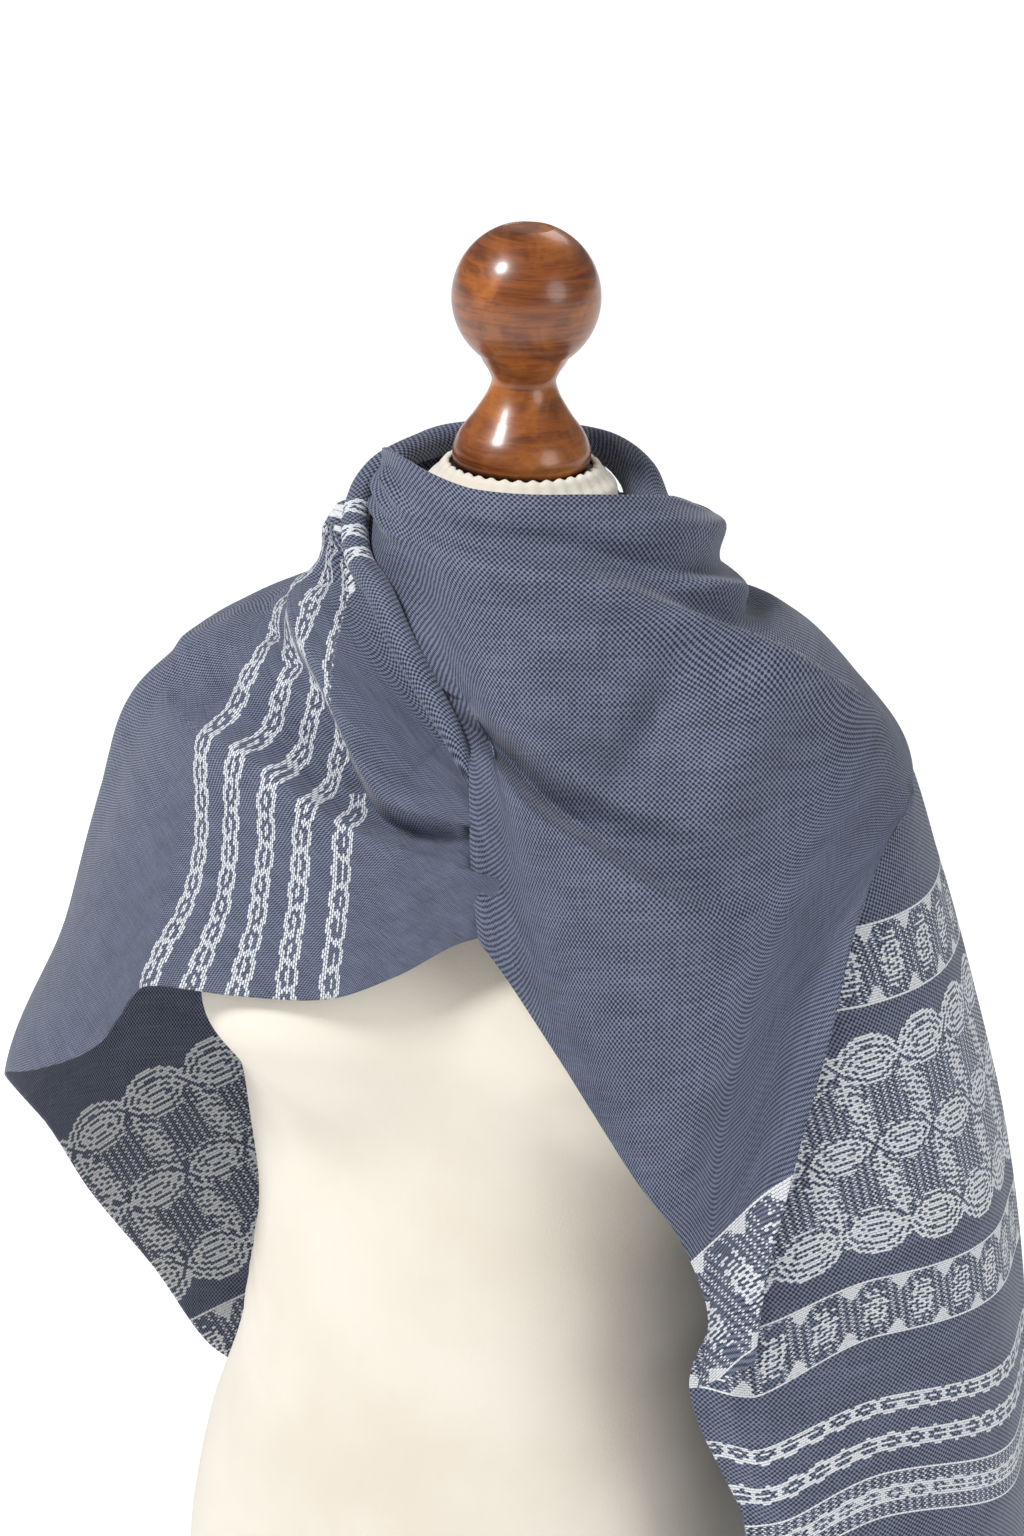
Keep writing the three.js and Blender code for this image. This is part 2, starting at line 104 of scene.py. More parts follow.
def new_material(name, colour, roughness):
    """A plain material to build on, with its node tree and its main shader."""
    material = bpy.data.materials.new(name)
    material.use_nodes = True
    shader = material.node_tree.nodes["Principled BSDF"]
    set_inputs(shader, {"Base Color": colour, "Roughness": roughness})
    return material, material.node_tree, shader


def add_lamp(name, stand, target, width, power):
    """A soft round lamp that faces its target."""
    bpy.ops.object.light_add(type="AREA", location=stand)
    lamp = bpy.context.object
    lamp.name = name
    lamp.data.shape = "DISK"
    lamp.data.size = width
    lamp.data.energy = power
    lamp.rotation_euler = (Vector(stand) - Vector(target)).to_track_quat("Z", "Y").to_euler()


bpy.ops.mesh.primitive_plane_add(size=FLOOR_REACH)
floor = bpy.context.object
floor.name = "floor"
floor_material, floor_tree, floor_shader = new_material("pale_floor", FLOOR_COLOUR, 0.9)
set_inputs(floor_shader, {"Emission Color": WHITE})
floor_place = floor_tree.nodes.new("ShaderNodeTexCoord")
floor_distance = floor_tree.nodes.new("ShaderNodeVectorMath")
floor_distance.operation = "LENGTH"
floor_glow = floor_tree.nodes.new("ShaderNodeMapRange")
set_inputs(floor_glow, {"From Min": GLOW_FROM, "From Max": GLOW_TO})
set_inputs(floor_glow, {"To Min": NEAR_GLOW, "To Max": FAR_GLOW})
floor_tree.links.new(floor_place.outputs["Object"], floor_distance.inputs[0])
floor_tree.links.new(floor_distance.outputs["Value"], floor_glow.inputs["Value"])
floor_tree.links.new(floor_glow.outputs["Result"], floor_shader.inputs["Emission Strength"])
floor.data.materials.append(floor_material)

world = bpy.data.worlds.new("room")
bpy.context.scene.world = world
world.use_nodes = True
set_inputs(world.node_tree.nodes["Background"], {"Color": WHITE, "Strength": ROOM_LIGHT})
bpy.context.scene.view_settings.view_transform = "Standard"

for lamp_values in LAMPS:
    add_lamp(*lamp_values)


# The base board.
# A flat beech board, cut to the form's hip and oiled, that closes the form underneath. The
# photograph's edge hides it, so it is plain, with a small round-over on its rim.
BOARD_HEIGHT = 12
BOARD_INSET = 3
BOARD_ROUNDING = 1.5
BOARD_CORNERS = 120
FORM_SECTIONS = (
    # z, left, right, front, back, squareness
    (12, 176, 168, 150, 78, 2.2),
    (60, 180, 172, 153, 86, 2.2),
    (110, 178, 170, 152, 92, 2.2),
    (180, 168, 156, 144, 84, 2.2),
    (245, 149, 138, 136, 60, 2.2),
    (290, 141, 130, 132, 49, 2.2),
    (335, 138, 130, 131, 54, 2.2),
    (400, 146, 140, 130, 74, 2.2),
    (500, 156, 152, 134, 96, 2.2),
    (560, 157, 157, 118, 104, 2.2),
    (620, 172, 172, 96, 104, 2.3),
    (642, 183, 183, 87, 95, 2.3),
    (655, 183, 183, 82, 88, 2.3),
    (666, 172, 172, 77, 82, 2.2),
    (677, 150, 150, 73, 77, 2.2),
    (690, 112, 112, 68, 71, 2.1),
    (704, 77, 77, 62, 65, 2),
    (722, 58, 58, 57, 58, 2),
    (745, 54, 54, 54, 54, 2),
    (762, 53, 53, 53, 53, 2),
    (770, 46, 46, 46, 46, 2),
)
BUST = {"angle": 40, "spread": 27, "z": 484, "above": 76, "below": 44, "height": 42}
BEECH_LIGHT = (0.52, 0.33, 0.17, 1)
BEECH_DARK = (0.34, 0.19, 0.085, 1)


def smooth_through(xs, ys, at):
    """Cubic through the given values that never swings past them. Values may be rows."""
    xs = np.asarray(xs, float)
    ys = np.asarray(ys, float)
    ys = ys.reshape(len(xs), -1)
    step = np.diff(xs)[:, None]
    rise = np.diff(ys, axis=0) / step
    slope = np.zeros_like(ys)
    slope[0], slope[-1] = rise[0], rise[-1]
    before = 2 * step[1:] + step[:-1]
    after = step[1:] + 2 * step[:-1]
    same_way = rise[:-1] * rise[1:] > 0
    safe = np.where(same_way, rise[:-1] * rise[1:], 1)
    blended = (before + after) * safe / (before * rise[1:] + after * rise[:-1] + ~same_way)
    slope[1:-1] = np.where(same_way, blended, 0)
    at = np.clip(np.asarray(at, float), xs[0], xs[-1])
    i = np.clip(np.searchsorted(xs, at, side="left") - 1, 0, len(xs) - 2)
    t = ((at - xs[i]) / step[i, 0])[..., None]
    end = t * t * (3 - 2 * t)
    bend_start = t * (1 - t) ** 2 * step[i]
    bend_end = t * t * (t - 1) * step[i]
    value = ys[i] + (ys[i + 1] - ys[i]) * end + bend_start * slope[i] + bend_end * slope[i + 1]
    return value[..., 0] if value.shape[-1] == 1 else value


def section_radius(sections, angle, z):
    """Radius of a rounded section with four half widths, at an angle and a height."""
    table = np.array(sections, float)
    size = smooth_through(table[:, 0], table[:, 1:], z)
    sine, cosine = np.sin(np.radians(angle)), np.cos(np.radians(angle))
    side = np.where(sine < 0, size[..., 0], size[..., 1])
    depth = np.where(cosine > 0, size[..., 2], size[..., 3])
    power = size[..., 4]
    return (np.abs(sine / side) ** power + np.abs(cosine / depth) ** power) ** (-1 / power)


def form_radius(angle, z):
    """Radius of the form: its section, with a soft swell at each side of the bust."""
    angle, z = np.broadcast_arrays(np.asarray(angle, float), np.asarray(z, float))
    turn = (angle + 180) % 360 - 180
    spread_up = np.where(z > BUST["z"], BUST["above"], BUST["below"])
    upward = ((z - BUST["z"]) / spread_up) ** 2
    sides = (-BUST["angle"], BUST["angle"])
    swell = sum(np.exp(-(((turn - side) / BUST["spread"]) ** 2) - upward) for side in sides)
    return section_radius(FORM_SECTIONS, angle, z) + BUST["height"] * swell


def place(radius, angle, z):
    """The point at a radius, an angle from the front and a height."""
    turn = np.radians(angle)
    return np.stack([radius * np.sin(turn), -radius * np.cos(turn), z + 0 * turn], axis=-1)


def pick(piece=None):
    """Deselects everything, then selects the piece alone if there is one."""
    bpy.ops.object.select_all(action="DESELECT")
    if piece:
        piece.select_set(True)
        bpy.context.view_layer.objects.active = piece


def ring_angles(corners):
    """The angles of a ring's corners, from +X on."""
    return np.arange(corners) * 360 / corners + 90


def ring_piece(name, points):
    """A filled circle whose rim is taken to the given points, in metres, ready to be extruded."""
    pick()
    bpy.ops.mesh.primitive_circle_add(vertices=len(points), radius=1, fill_type="NGON")
    piece = bpy.context.object
    piece.name = name
    order = np.argsort([math.atan2(v.co.y, v.co.x) % math.tau for v in piece.data.vertices])
    for corner, point in zip(order, points):
        piece.data.vertices[corner].co = point
    return piece


def select_mesh():
    bpy.ops.object.mode_set(mode="EDIT")
    bpy.ops.mesh.select_all(action="SELECT")


def face_outwards():
    """Turns every face outwards and leaves edit mode."""
    bpy.ops.mesh.select_all(action="SELECT")
    bpy.ops.mesh.normals_make_consistent(inside=False)
    bpy.ops.object.mode_set(mode="OBJECT")


def flat_disc(name, points, height, rounding, segments):
    """A flat disc on a ring of points, with its edges rounded over. Sizes are millimetres."""
    piece = ring_piece(name, points * MM)
    select_mesh()
    bpy.ops.mesh.extrude_region_move(TRANSFORM_OT_translate={"value": (0, 0, height * MM)})
    face_outwards()
    apply_modifier(piece, "BEVEL", width=rounding * MM, segments=segments, limit_method="ANGLE")
    return piece


def finish_piece(piece, material, slot, *nodes, crease=None):
    """Smooth shading, its material, its body, and the solids that it stands for."""
    pick(piece)
    if crease is None:
        bpy.ops.object.shade_smooth()
    else:
        bpy.ops.object.shade_smooth_by_angle(angle=math.radians(crease))
    piece.data.materials.clear()
    piece.data.materials.append(material)
    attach(piece, "root")
    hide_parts(*nodes)


def apply_modifier(piece, kind, **values):
    modifier = piece.modifiers.new(kind.lower(), kind)
    for name, value in values.items():
        setattr(modifier, name, value)
    pick(piece)
    bpy.ops.object.modifier_apply(modifier=modifier.name)


class Wire:
    """A value in a material's node tree, added, multiplied and compared like a number."""

    def __init__(self, tree, socket):
        self.tree = tree
        self.socket = socket

    def join(self, operation, *others):
        """A math node that takes this value first, then the others."""
        node = self.tree.nodes.new("ShaderNodeMath")
        node.operation = operation
        for slot, value in zip(node.inputs, (self, *others)):
            if isinstance(value, Wire):
                self.tree.links.new(value.socket, slot)
            else:
                slot.default_value = value
        return Wire(self.tree, node.outputs[0])

    __add__ = partialmethod(join, "ADD")
    __sub__ = partialmethod(join, "SUBTRACT")
    __mul__ = partialmethod(join, "MULTIPLY")
    __truediv__ = partialmethod(join, "DIVIDE")
    __abs__ = partialmethod(join, "ABSOLUTE")
    __lt__ = partialmethod(join, "LESS_THAN")
    __gt__ = partialmethod(join, "GREATER_THAN")
    sine = partialmethod(join, "SINE")
    floor = partialmethod(join, "FLOOR")
    root = partialmethod(join, "SQRT")
    least = partialmethod(join, "MINIMUM")
    most = partialmethod(join, "MAXIMUM")

    def __rsub__(self, other):
        return self * -1 + other

    def ramp(self, low, high):
        """0 up to low, 1 from high on, and a soft step between them."""
        node = self.tree.nodes.new("ShaderNodeMapRange")
        node.interpolation_type = "SMOOTHSTEP"
        self.tree.links.new(self.socket, node.inputs["Value"])
        set_inputs(node, {"From Min": low, "From Max": high})
        return Wire(self.tree, node.outputs["Result"])


def object_place(tree):
    return tree.nodes.new("ShaderNodeTexCoord").outputs["Object"]


def stretched(tree, place_socket, scale):
    """The place with each of its directions scaled by its own amount."""
    node = tree.nodes.new("ShaderNodeMapping")
    set_inputs(node, {"Scale": scale})
    tree.links.new(place_socket, node.inputs["Vector"])
    return node.outputs["Vector"]


def noise(tree, place_socket, scale, detail, roughness=0.5, distortion=0.0):
    node = tree.nodes.new("ShaderNodeTexNoise")
    set_inputs(node, {"Scale": scale, "Detail": detail, "Roughness": roughness, "Distortion": distortion})
    tree.links.new(place_socket, node.inputs["Vector"])
    return Wire(tree, node.outputs["Fac"])


def mixed(tree, share, first, second):
    """One colour, or colour socket, passing into another as share goes from 0 to 1."""
    node = tree.nodes.new("ShaderNodeMix")
    node.data_type = "RGBA"
    tree.links.new(share.socket, node.inputs["Factor"])
    for slot, value in ((node.inputs[6], first), (node.inputs[7], second)):
        if isinstance(value, bpy.types.NodeSocket):
            tree.links.new(value, slot)
        else:
            slot.default_value = value
    return node.outputs[2]


def bumped(tree, shader, height, distance, strength):
    """Makes the surface rough to the light where height varies. Distance is in metres."""
    node = tree.nodes.new("ShaderNodeBump")
    set_inputs(node, {"Strength": strength, "Distance": distance})
    tree.links.new(height.socket, node.inputs["Height"])
    tree.links.new(node.outputs["Normal"], shader.inputs["Normal"])


def board_beech():
    material, tree, shader = new_material("board_beech", BEECH_LIGHT, 0.55)
    grain = noise(tree, stretched(tree, object_place(tree), (3, 60, 60)), 6, 5, 0.6, 0.8)
    tree.links.new(mixed(tree, grain.ramp(0.35, 0.7), BEECH_LIGHT, BEECH_DARK), shader.inputs["Base Color"])
    bumped(tree, shader, grain, 0.0002, 0.4)
    return material


board_angles = ring_angles(BOARD_CORNERS)
board_rim = form_radius(board_angles, BOARD_HEIGHT) - BOARD_INSET
base_board = flat_disc("oiled_board", place(board_rim, board_angles, 0), BOARD_HEIGHT, BOARD_ROUNDING, 3)
finish_piece(base_board, board_beech(), "board_wood", "base_board", crease=30)


# The dress form.
# A padded torso without limbs, from hip to neck, in one smooth skin of cream jersey that is
# gathered on top of the neck. Two or three drag lines run round from its right side.
NECK_TOP = 770
FORM_FOOT = 12.3
SAME_PLACE = 0.00002
JERSEY_LIGHT = (0.86, 0.80, 0.70, 1)
JERSEY_SHADE = (0.78, 0.71, 0.60, 1)
GATHERS = 34
GATHER_DEPTH = 0.7
GATHER_FADE = 5
GATHERED_RIM = (
    # radius, z, how far it ripples
    (43.3, 770.1, 0),
    (43.4, 771.4, 0),
    (42.6, 772.1, 0),
    (40.8, 772.15, 0.1),
    (39.6, 772.6, 0.7),
    (40, 773.4, 1.2),
    (41.4, 773.9, 1.4),
    (43.2, 773.3, 1.3),
    (44.8, 771.6, 1.0),
)
FORM_DRAGS = (
    # left slope, right slope, route of (angle, z, rise)
    (5, 9, ((-100, 300, 0), (-82, 292, 1.8), (-64, 276, 2.2), (-46, 254, 1.5), (-26, 228, 0))),
    (5, 8, ((-96, 282, 0), (-78, 272, 1.6), (-60, 254, 1.8), (-42, 230, 1.0), (-24, 202, 0))),
    (6, 8, ((-100, 318, 0), (-84, 312, 1.2), (-66, 300, 1.3), (-44, 282, 0.8), (-24, 262, 0))),
)


def measure_from(route, on_surface, points, normals, steps=12):
    """Each point's distance from a route on the surface, the side it is on (1 for the left
    and -1 for the right, seen along the route), its length along, and the route's third value."""
    route = np.array(route, float)
    at = np.linspace(0, len(route) - 1, steps * len(route))
    stops = smooth_through(np.arange(len(route)), route, at)
    line = on_surface(stops[:, 0], stops[:, 1])
    way = np.concatenate([[0], np.cumsum(np.linalg.norm(np.diff(line, axis=0), axis=-1))])
    nearest = np.full(points.shape[:-1], np.inf)
    side, length, value = (np.zeros_like(nearest) for _ in range(3))
    for k, (start, end) in enumerate(zip(line[:-1], line[1:])):
        along = end - start
        offset = points - start
        t = np.clip(offset @ along / (along @ along), 0, 1)
        gap = offset - t[..., None] * along
        distance = np.linalg.norm(gap, axis=-1)
        closer = distance < nearest
        cross = np.cross(along, gap)
        lean = (cross * normals).sum(-1) / np.maximum(np.linalg.norm(cross, axis=-1), 1e-9)
        nearest = np.where(closer, distance, nearest)
        side = np.where(closer, lean, side)
        length = np.where(closer, way[k] + t * (way[k + 1] - way[k]), length)
        value = np.where(closer, stops[k, 2] + (stops[k + 1, 2] - stops[k, 2]) * t, value)
    return nearest, side, length, value


def fold_rise(fold, on_surface, points, normals):
    """How far a fold lifts each point. Its shape is measured from its route on the surface."""
    left, right, route = fold
    nearest, side, length, rise = measure_from(route, on_surface, points, normals)
    width = right + (left - right) * (0.5 + 0.5 * side)
    return rise * np.exp(-((nearest / width) ** 2))


def surface_normal(on_surface, angle, z):
    """The outward direction of a surface, smoothed over a few millimetres."""
    across = on_surface(angle + 4, z) - on_surface(angle - 4, z)
    down = on_surface(angle, z - 6) - on_surface(angle, z + 6)
    normal = np.cross(down, across)
    return normal / np.linalg.norm(normal, axis=-1, keepdims=True)


def grid_piece(name, points, maps=None):
    """A grid primitive whose vertices are taken to the rows of points, from its far edge on.

    maps gives UV maps by name, each with a pair of values for each point.
    """
    rows, columns = points.shape[:2]
    pick()
    bpy.ops.mesh.primitive_grid_add(x_subdivisions=columns - 1, y_subdivisions=rows - 1, size=2)
    piece = bpy.context.object
    piece.name = name
    mesh = piece.data
    flat = np.empty(len(mesh.vertices) * 3)
    mesh.vertices.foreach_get("co", flat)
    flat = flat.reshape(-1, 3)
    column = np.rint((flat[:, 0] + 1) / 2 * (columns - 1)).astype(int)
    row = np.rint((1 - flat[:, 1]) / 2 * (rows - 1)).astype(int)
    mesh.vertices.foreach_set("co", (points[row, column] * MM).ravel())
    corner = np.empty(len(mesh.loops), int)
    mesh.loops.foreach_get("vertex_index", corner)
    mesh.uv_layers.remove(mesh.uv_layers[0])
    for map_name, pairs in (maps or {}).items():
        layer = mesh.uv_layers.new(name=map_name)
        layer.data.foreach_set("uv", pairs[row, column][corner].ravel())
    mesh.update()
    return piece


def on_form(angle, z):
    return place(form_radius(angle, z), angle, z)


def jersey():
    """Fine cream knit with faint clouds and a soft sheen."""
    material, tree, shader = new_material("cream_jersey", JERSEY_LIGHT, 0.92)
    where = object_place(tree)
    cloudy = noise(tree, where, 9, 3)
    fine = noise(tree, stretched(tree, where, (1, 1, 0.55)), 1500, 2, 0.7)
    colour = mixed(tree, cloudy.ramp(0.3, 0.75), JERSEY_LIGHT, JERSEY_SHADE)
    tree.links.new(colour, shader.inputs["Base Color"])
    bumped(tree, shader, fine, 0.00045, 0.35)
    set_inputs(shader, {"Sheen Weight": 0.35, "Sheen Roughness": 0.5})
    return material


# Rows of points, closer together over the shoulders and the neck
form_levels = np.concatenate([
    np.linspace(FORM_FOOT, 640, 150),
    np.linspace(643, 715, 40),
    np.linspace(718, NECK_TOP, 26),
])
form_angles = np.linspace(-180, 180, 181)
angle_grid, level_grid = np.meshgrid(form_angles, form_levels[::-1])
form_points = on_form(angle_grid, level_grid)
form_normals = surface_normal(on_form, angle_grid, np.clip(level_grid, 20, 760))
form_rise = sum(fold_rise(drag, on_form, form_points, form_normals) for drag in FORM_DRAGS)
form_points = form_points + form_normals * form_rise[..., None]
# The jersey's gathers on top of the neck: ripples that fade inwards and down
gather = np.cos(np.radians(angle_grid) * GATHERS) - 1
form_points[..., 2] += GATHER_DEPTH * gather * np.exp(-((NECK_TOP - level_grid) / GATHER_FADE) ** 2)
# It is gathered over the rim of the neck plate, and goes on flat underneath
lip_rows = np.array(GATHERED_RIM, float)
lip_ripple = (0.5 + 0.5 * np.cos(np.radians(form_angles) * GATHERS))[None, :] * lip_rows[:, 2:]
lip = place(lip_rows[:, :1] - lip_ripple * 0.5, form_angles[None, :], lip_rows[:, 1:2] + lip_ripple)
cap_share = np.linspace(0, 0.94, 12)[:, None, None]
cap = lip[:1] * np.concatenate([cap_share, cap_share, np.ones_like(cap_share)], axis=-1)
dress_form = grid_piece("jersey_form", np.concatenate([cap, lip, form_points]))
select_mesh()
bpy.ops.mesh.remove_doubles(threshold=SAME_PLACE)
bpy.ops.mesh.select_all(action="DESELECT")
bpy.ops.mesh.select_non_manifold()
bpy.ops.mesh.fill()
face_outwards()
finish_piece(dress_form, jersey(), "jersey", "dress_form", crease=50)


# The neck plate.
# A thin black metal disc between the gathered jersey and the finial. It shows as a dark gap.
PLATE_RADIUS = 43
PLATE_FOOT = 770.3
PLATE_HEIGHT = 1.6
PLATE_ROUNDING = 0.3
PLATE_CORNERS = 96
PLATE_BLACK = (0.012, 0.011, 0.010, 1)
PLATE_DUST = (0.03, 0.028, 0.025, 1)


def black_plate():
    material, tree, shader = new_material("black_plate", PLATE_BLACK, 0.55)
    dust = noise(tree, object_place(tree), 60, 3)
    tree.links.new(mixed(tree, dust.ramp(0.4, 0.8), PLATE_BLACK, PLATE_DUST), shader.inputs["Base Color"])
    set_inputs(shader, {"Metallic": 0.4})
    return material


plate_angles = ring_angles(PLATE_CORNERS)
plate_rim = place(PLATE_RADIUS, plate_angles, PLATE_FOOT)
neck_plate = flat_disc("black_disc", plate_rim, PLATE_HEIGHT, PLATE_ROUNDING, 2)
finish_piece(neck_plate, black_plate(), "black_plate", "neck_plate", crease=30)


# The finial.
# One block of wood turned on a lathe, a flared cone and a ball with a small flat on its top,
# then stained reddish brown and varnished. Its turned rings of grain show through the gloss.
FINIAL_FOOT = 772.2
FINIAL_CORNERS = 112
# Heights and radii up the cone
CONE_PROFILE = (
    (0, 34), (3, 37.4), (8, 38), (16, 35.5), (30, 26), (42, 19.2), (48, 17.5), (53, 19.3), (58, 22.5),
)
BALL_RADIUS = 40.5
BALL_CENTRE_UP = 94
BALL_FLAT_RADIUS = 14
BALL_FLAT_DEPTH = 0.5
WOOD_MID = (0.25, 0.066, 0.010, 1)
WOOD_DARK = (0.10, 0.022, 0.004, 1)
WOOD_LIGHT = (0.46, 0.15, 0.028, 1)


def varnished_wood():
    """Rings of grain, lighter patches and dark pores under a coat of varnish."""
    material, tree, shader = new_material("varnished_wood", WOOD_MID, 0.36)
    where = object_place(tree)
    rings = noise(tree, stretched(tree, where, (14, 14, 170)), 1.6, 6, 0.62, 0.6)
    pores = noise(tree, stretched(tree, where, (90, 90, 900)), 2.2, 3, 0.6)
    cloudy = noise(tree, where, 22, 4, 0.6, 0.5)
    base = mixed(tree, rings.ramp(0.36, 0.68), WOOD_MID, WOOD_DARK)
    warm = mixed(tree, cloudy.ramp(0.45, 0.75), base, WOOD_LIGHT)
    tone = mixed(tree, pores.ramp(0.55, 0.8), warm, WOOD_DARK)
    tree.links.new(tone, shader.inputs["Base Color"])
    bumped(tree, shader, rings + pores * 0.5, 0.0002, 0.25)
    set_inputs(shader, {"Coat Weight": 0.4, "Coat Roughness": 0.16})
    return material


finial_angles = ring_angles(FINIAL_CORNERS)
cone = np.array(CONE_PROFILE, float)
cone_ups = np.linspace(0, cone[-1, 0], 36)
profile = list(zip(smooth_through(cone[:, 0], cone[:, 1], cone_ups), cone_ups))
turn_low = math.asin(cone[-1, 1] / BALL_RADIUS)
turn_high = math.pi - math.asin(BALL_FLAT_RADIUS / BALL_RADIUS)
for turn in np.linspace(turn_low, turn_high, 40)[1:]:
    profile.append((BALL_RADIUS * math.sin(turn), BALL_CENTRE_UP - BALL_RADIUS * math.cos(turn)))
ball_top = profile[-1][1]
profile += [(BALL_FLAT_RADIUS - step_in, ball_top - BALL_FLAT_DEPTH) for step_in in (0.8, 2.0)]
finial = ring_piece("turned_finial", place(profile[0][0], finial_angles, FINIAL_FOOT) * MM)
select_mesh()
for (radius, up), (next_radius, next_up) in zip(profile, profile[1:]):
    bpy.ops.mesh.extrude_region_move(TRANSFORM_OT_translate={"value": (0, 0, (next_up - up) * MM)})
    grow = next_radius / radius
    centre = (0, 0, (FINIAL_FOOT + next_up) * MM)
    bpy.ops.transform.resize(value=(grow, grow, 1), center_override=centre)
face_outwards()
finish_piece(finial, varnished_wood(), "turned_wood", "ball_finial", crease=35)


# The shawl, its under layer.
# One long cloth of slubbed blue silk in plain weave. This stretch passes behind the shoulders
# and comes forward over the form's right arm side, where narrow chain stripes cross it.
BODY_CLEARANCE = 2.4
BLEND_RADIUS = 3
CLOTH_LIFT = 1.5
CLOTH_THICKNESS = 0.9
USUAL_RADIUS = 150
SEAM_ANGLE = 261.7
DRAPE_SECTIONS = (
    # z, left, right, front, back, squareness
    (20, 300, 318, 190, 190, 2.2),
    (180, 300, 312, 185, 185, 2.2),
    (300, 298, 300, 178, 178, 2.2),
    (385, 292, 286, 172, 172, 2.2),
    (480, 256, 262, 168, 158, 2.2),
    (560, 226, 238, 152, 148, 2.2),
    (620, 206, 214, 126, 134, 2.3),
    (655, 180, 184, 108, 118, 2.4),
    (675, 158, 166, 100, 108, 2.3),
    (695, 118, 134, 92, 100, 2.2),
    (715, 92, 118, 84, 92, 2),
    (745, 78, 98, 74, 82, 2),
    (776, 74, 74, 65, 72, 2),
)
# A rib runs from the neck to the hem: its place across the cloth, then (angle, z, lift)
UNDER_RIBS = (
    (0, ((106, 640, 0), (112, 530, 0), (116, 360, 0), (118, 66, 0))),
    (0.07, ((124, 680, 0), (131, 66, 0))),
    (0.145, ((146, 718, 0), (149, 68, 0))),
    (0.23, ((166, 764, 2.5), (168, 76, 0))),
    (0.345, ((200, 766, 2.5), (196, 88, 0))),
    (0.445, ((230, 765, 2.5), (226, 100, 0))),
    (0.485, ((239, 763, 2), (236, 128, 0))),
    (0.525, ((248, 758, 0.5), (245, 198, 0))),
    (0.555, ((255, 753, 0), (253, 256, 0))),
    (0.58, ((SEAM_ANGLE, 750, 0), (SEAM_ANGLE, 324, 0))),
    (0.622, ((271, 743, 0), (277, 388, 0))),
    (0.664, ((280, 731, 0), (289, 417, 0))),
    (0.706, ((292, 724, 0), (300, 452, 0))),
    (0.74, ((303, 718, 0), (306, 494, 0))),
    (0.798, ((320, 706, 0), (322, 505, 0))),
    (0.857, ((334, 688, 0), (338, 513, 0))),
    (0.912, ((346, 666, 0), (351, 531, 0))),
    (0.958, ((355, 650, 0), (363, 552, 0))),
    (1, ((370, 630, 0), (374, 562, 0))),
)
# A fold: its name, the widths of its two slopes, and its route of (angle, z, rise)
UNDER_FOLDS = {
    "deep crease": (6, 7, ((-92, 684, 0), (-80, 684, -5), (-62, 682, -7), (-49, 674, -8), (-41, 664, -8),
        (-35, 650, -8), (-30, 636, -8), (-25, 622, -8), (-21, 612, -8), (-15, 605, -8), (-2, 604, -4))),
    "puff by the roll": (24, 7, ((-86, 702, 0), (-73, 696, 11), (-58, 688, 18), (-43, 673, 23),
        (-32, 651, 25), (-23, 630, 23), (-14, 615, 18), (0, 610, 10))),
    "valley": (14, 8, ((-78, 650, 0), (-64, 648, -6), (-52, 644, -8), (-42, 636, -8), (-34, 624, -7),
        (-28, 616, -4), (-24, 612, 0))),
    "lower ridge": (6, 24, ((-76, 638, 0), (-61, 630, 9), (-51, 627, 14), (-43, 621, 17), (-38, 615, 18),
        (-32, 609, 18), (-24, 601, 17), (-10, 593, 14), (2, 589, 10))),
    "outer roll": (20, 22, ((-66, 690, 0), (-80, 650, 7), (-86, 600, 12), (-88, 550, 10), (-90, 500, 5),
        (-92, 470, 0))),
    "bump by the neck": (8, 14, ((-118, 728, 0), (-108, 732, 8), (-98, 733, 17), (-90, 729, 22),
        (-82, 720, 22), (-72, 711, 13), (-62, 706, 0))),
    "notch": (8, 9, ((-120, 712, 0), (-108, 712, -5), (-98, 710, -8), (-88, 704, -7), (-78, 700, 0))),
    "back fold one": (26, 34, ((126, 640, 0), (130, 440, 8), (129, 240, 13), (128, 40, 16))),
    "back fold two": (30, 24, ((155, 690, 0), (160, 500, 7), (161, 300, 12), (162, 60, 15))),
    "back fold three": (24, 32, ((186, 720, 0), (185, 520, 6), (188, 330, 10), (190, 70, 15))),
    "back fold four": (28, 26, ((214, 710, 0), (214, 520, 7), (216, 340, 12), (214, 90, 14))),
}
CLOTH_DARK = (0.006, 0.009, 0.024, 1)
CLOTH_BLUE = (0.13, 0.16, 0.25, 1)
CLOTH_PALE = (0.187, 0.219, 0.318, 1)
BROCADE_WHITE = (0.78, 0.80, 0.83, 1)
WEAVE_PITCH = 3.0
# The brocade's floats and the ground's dots: their sizes as shares of a stitch
WIDE_FLOAT = 0.66
NARROW_FLOAT = 0.56
GROUND_DOT = 0.42


def drape_radius(angle, z):
    """The drape hangs free, and rests on the form where the form is wider."""
    angle, z = np.broadcast_arrays(np.asarray(angle, float), np.asarray(z, float))
    free = section_radius(DRAPE_SECTIONS, angle, z)
    resting = form_radius(angle, np.minimum(z, NECK_TOP - 2)) + BODY_CLEARANCE
    blend = BLEND_RADIUS * np.log1p(np.exp(-np.abs(free - resting) / BLEND_RADIUS))
    return np.maximum(free, resting) + blend


def on_drape(angle, z):
    return place(drape_radius(angle, z), angle, z)


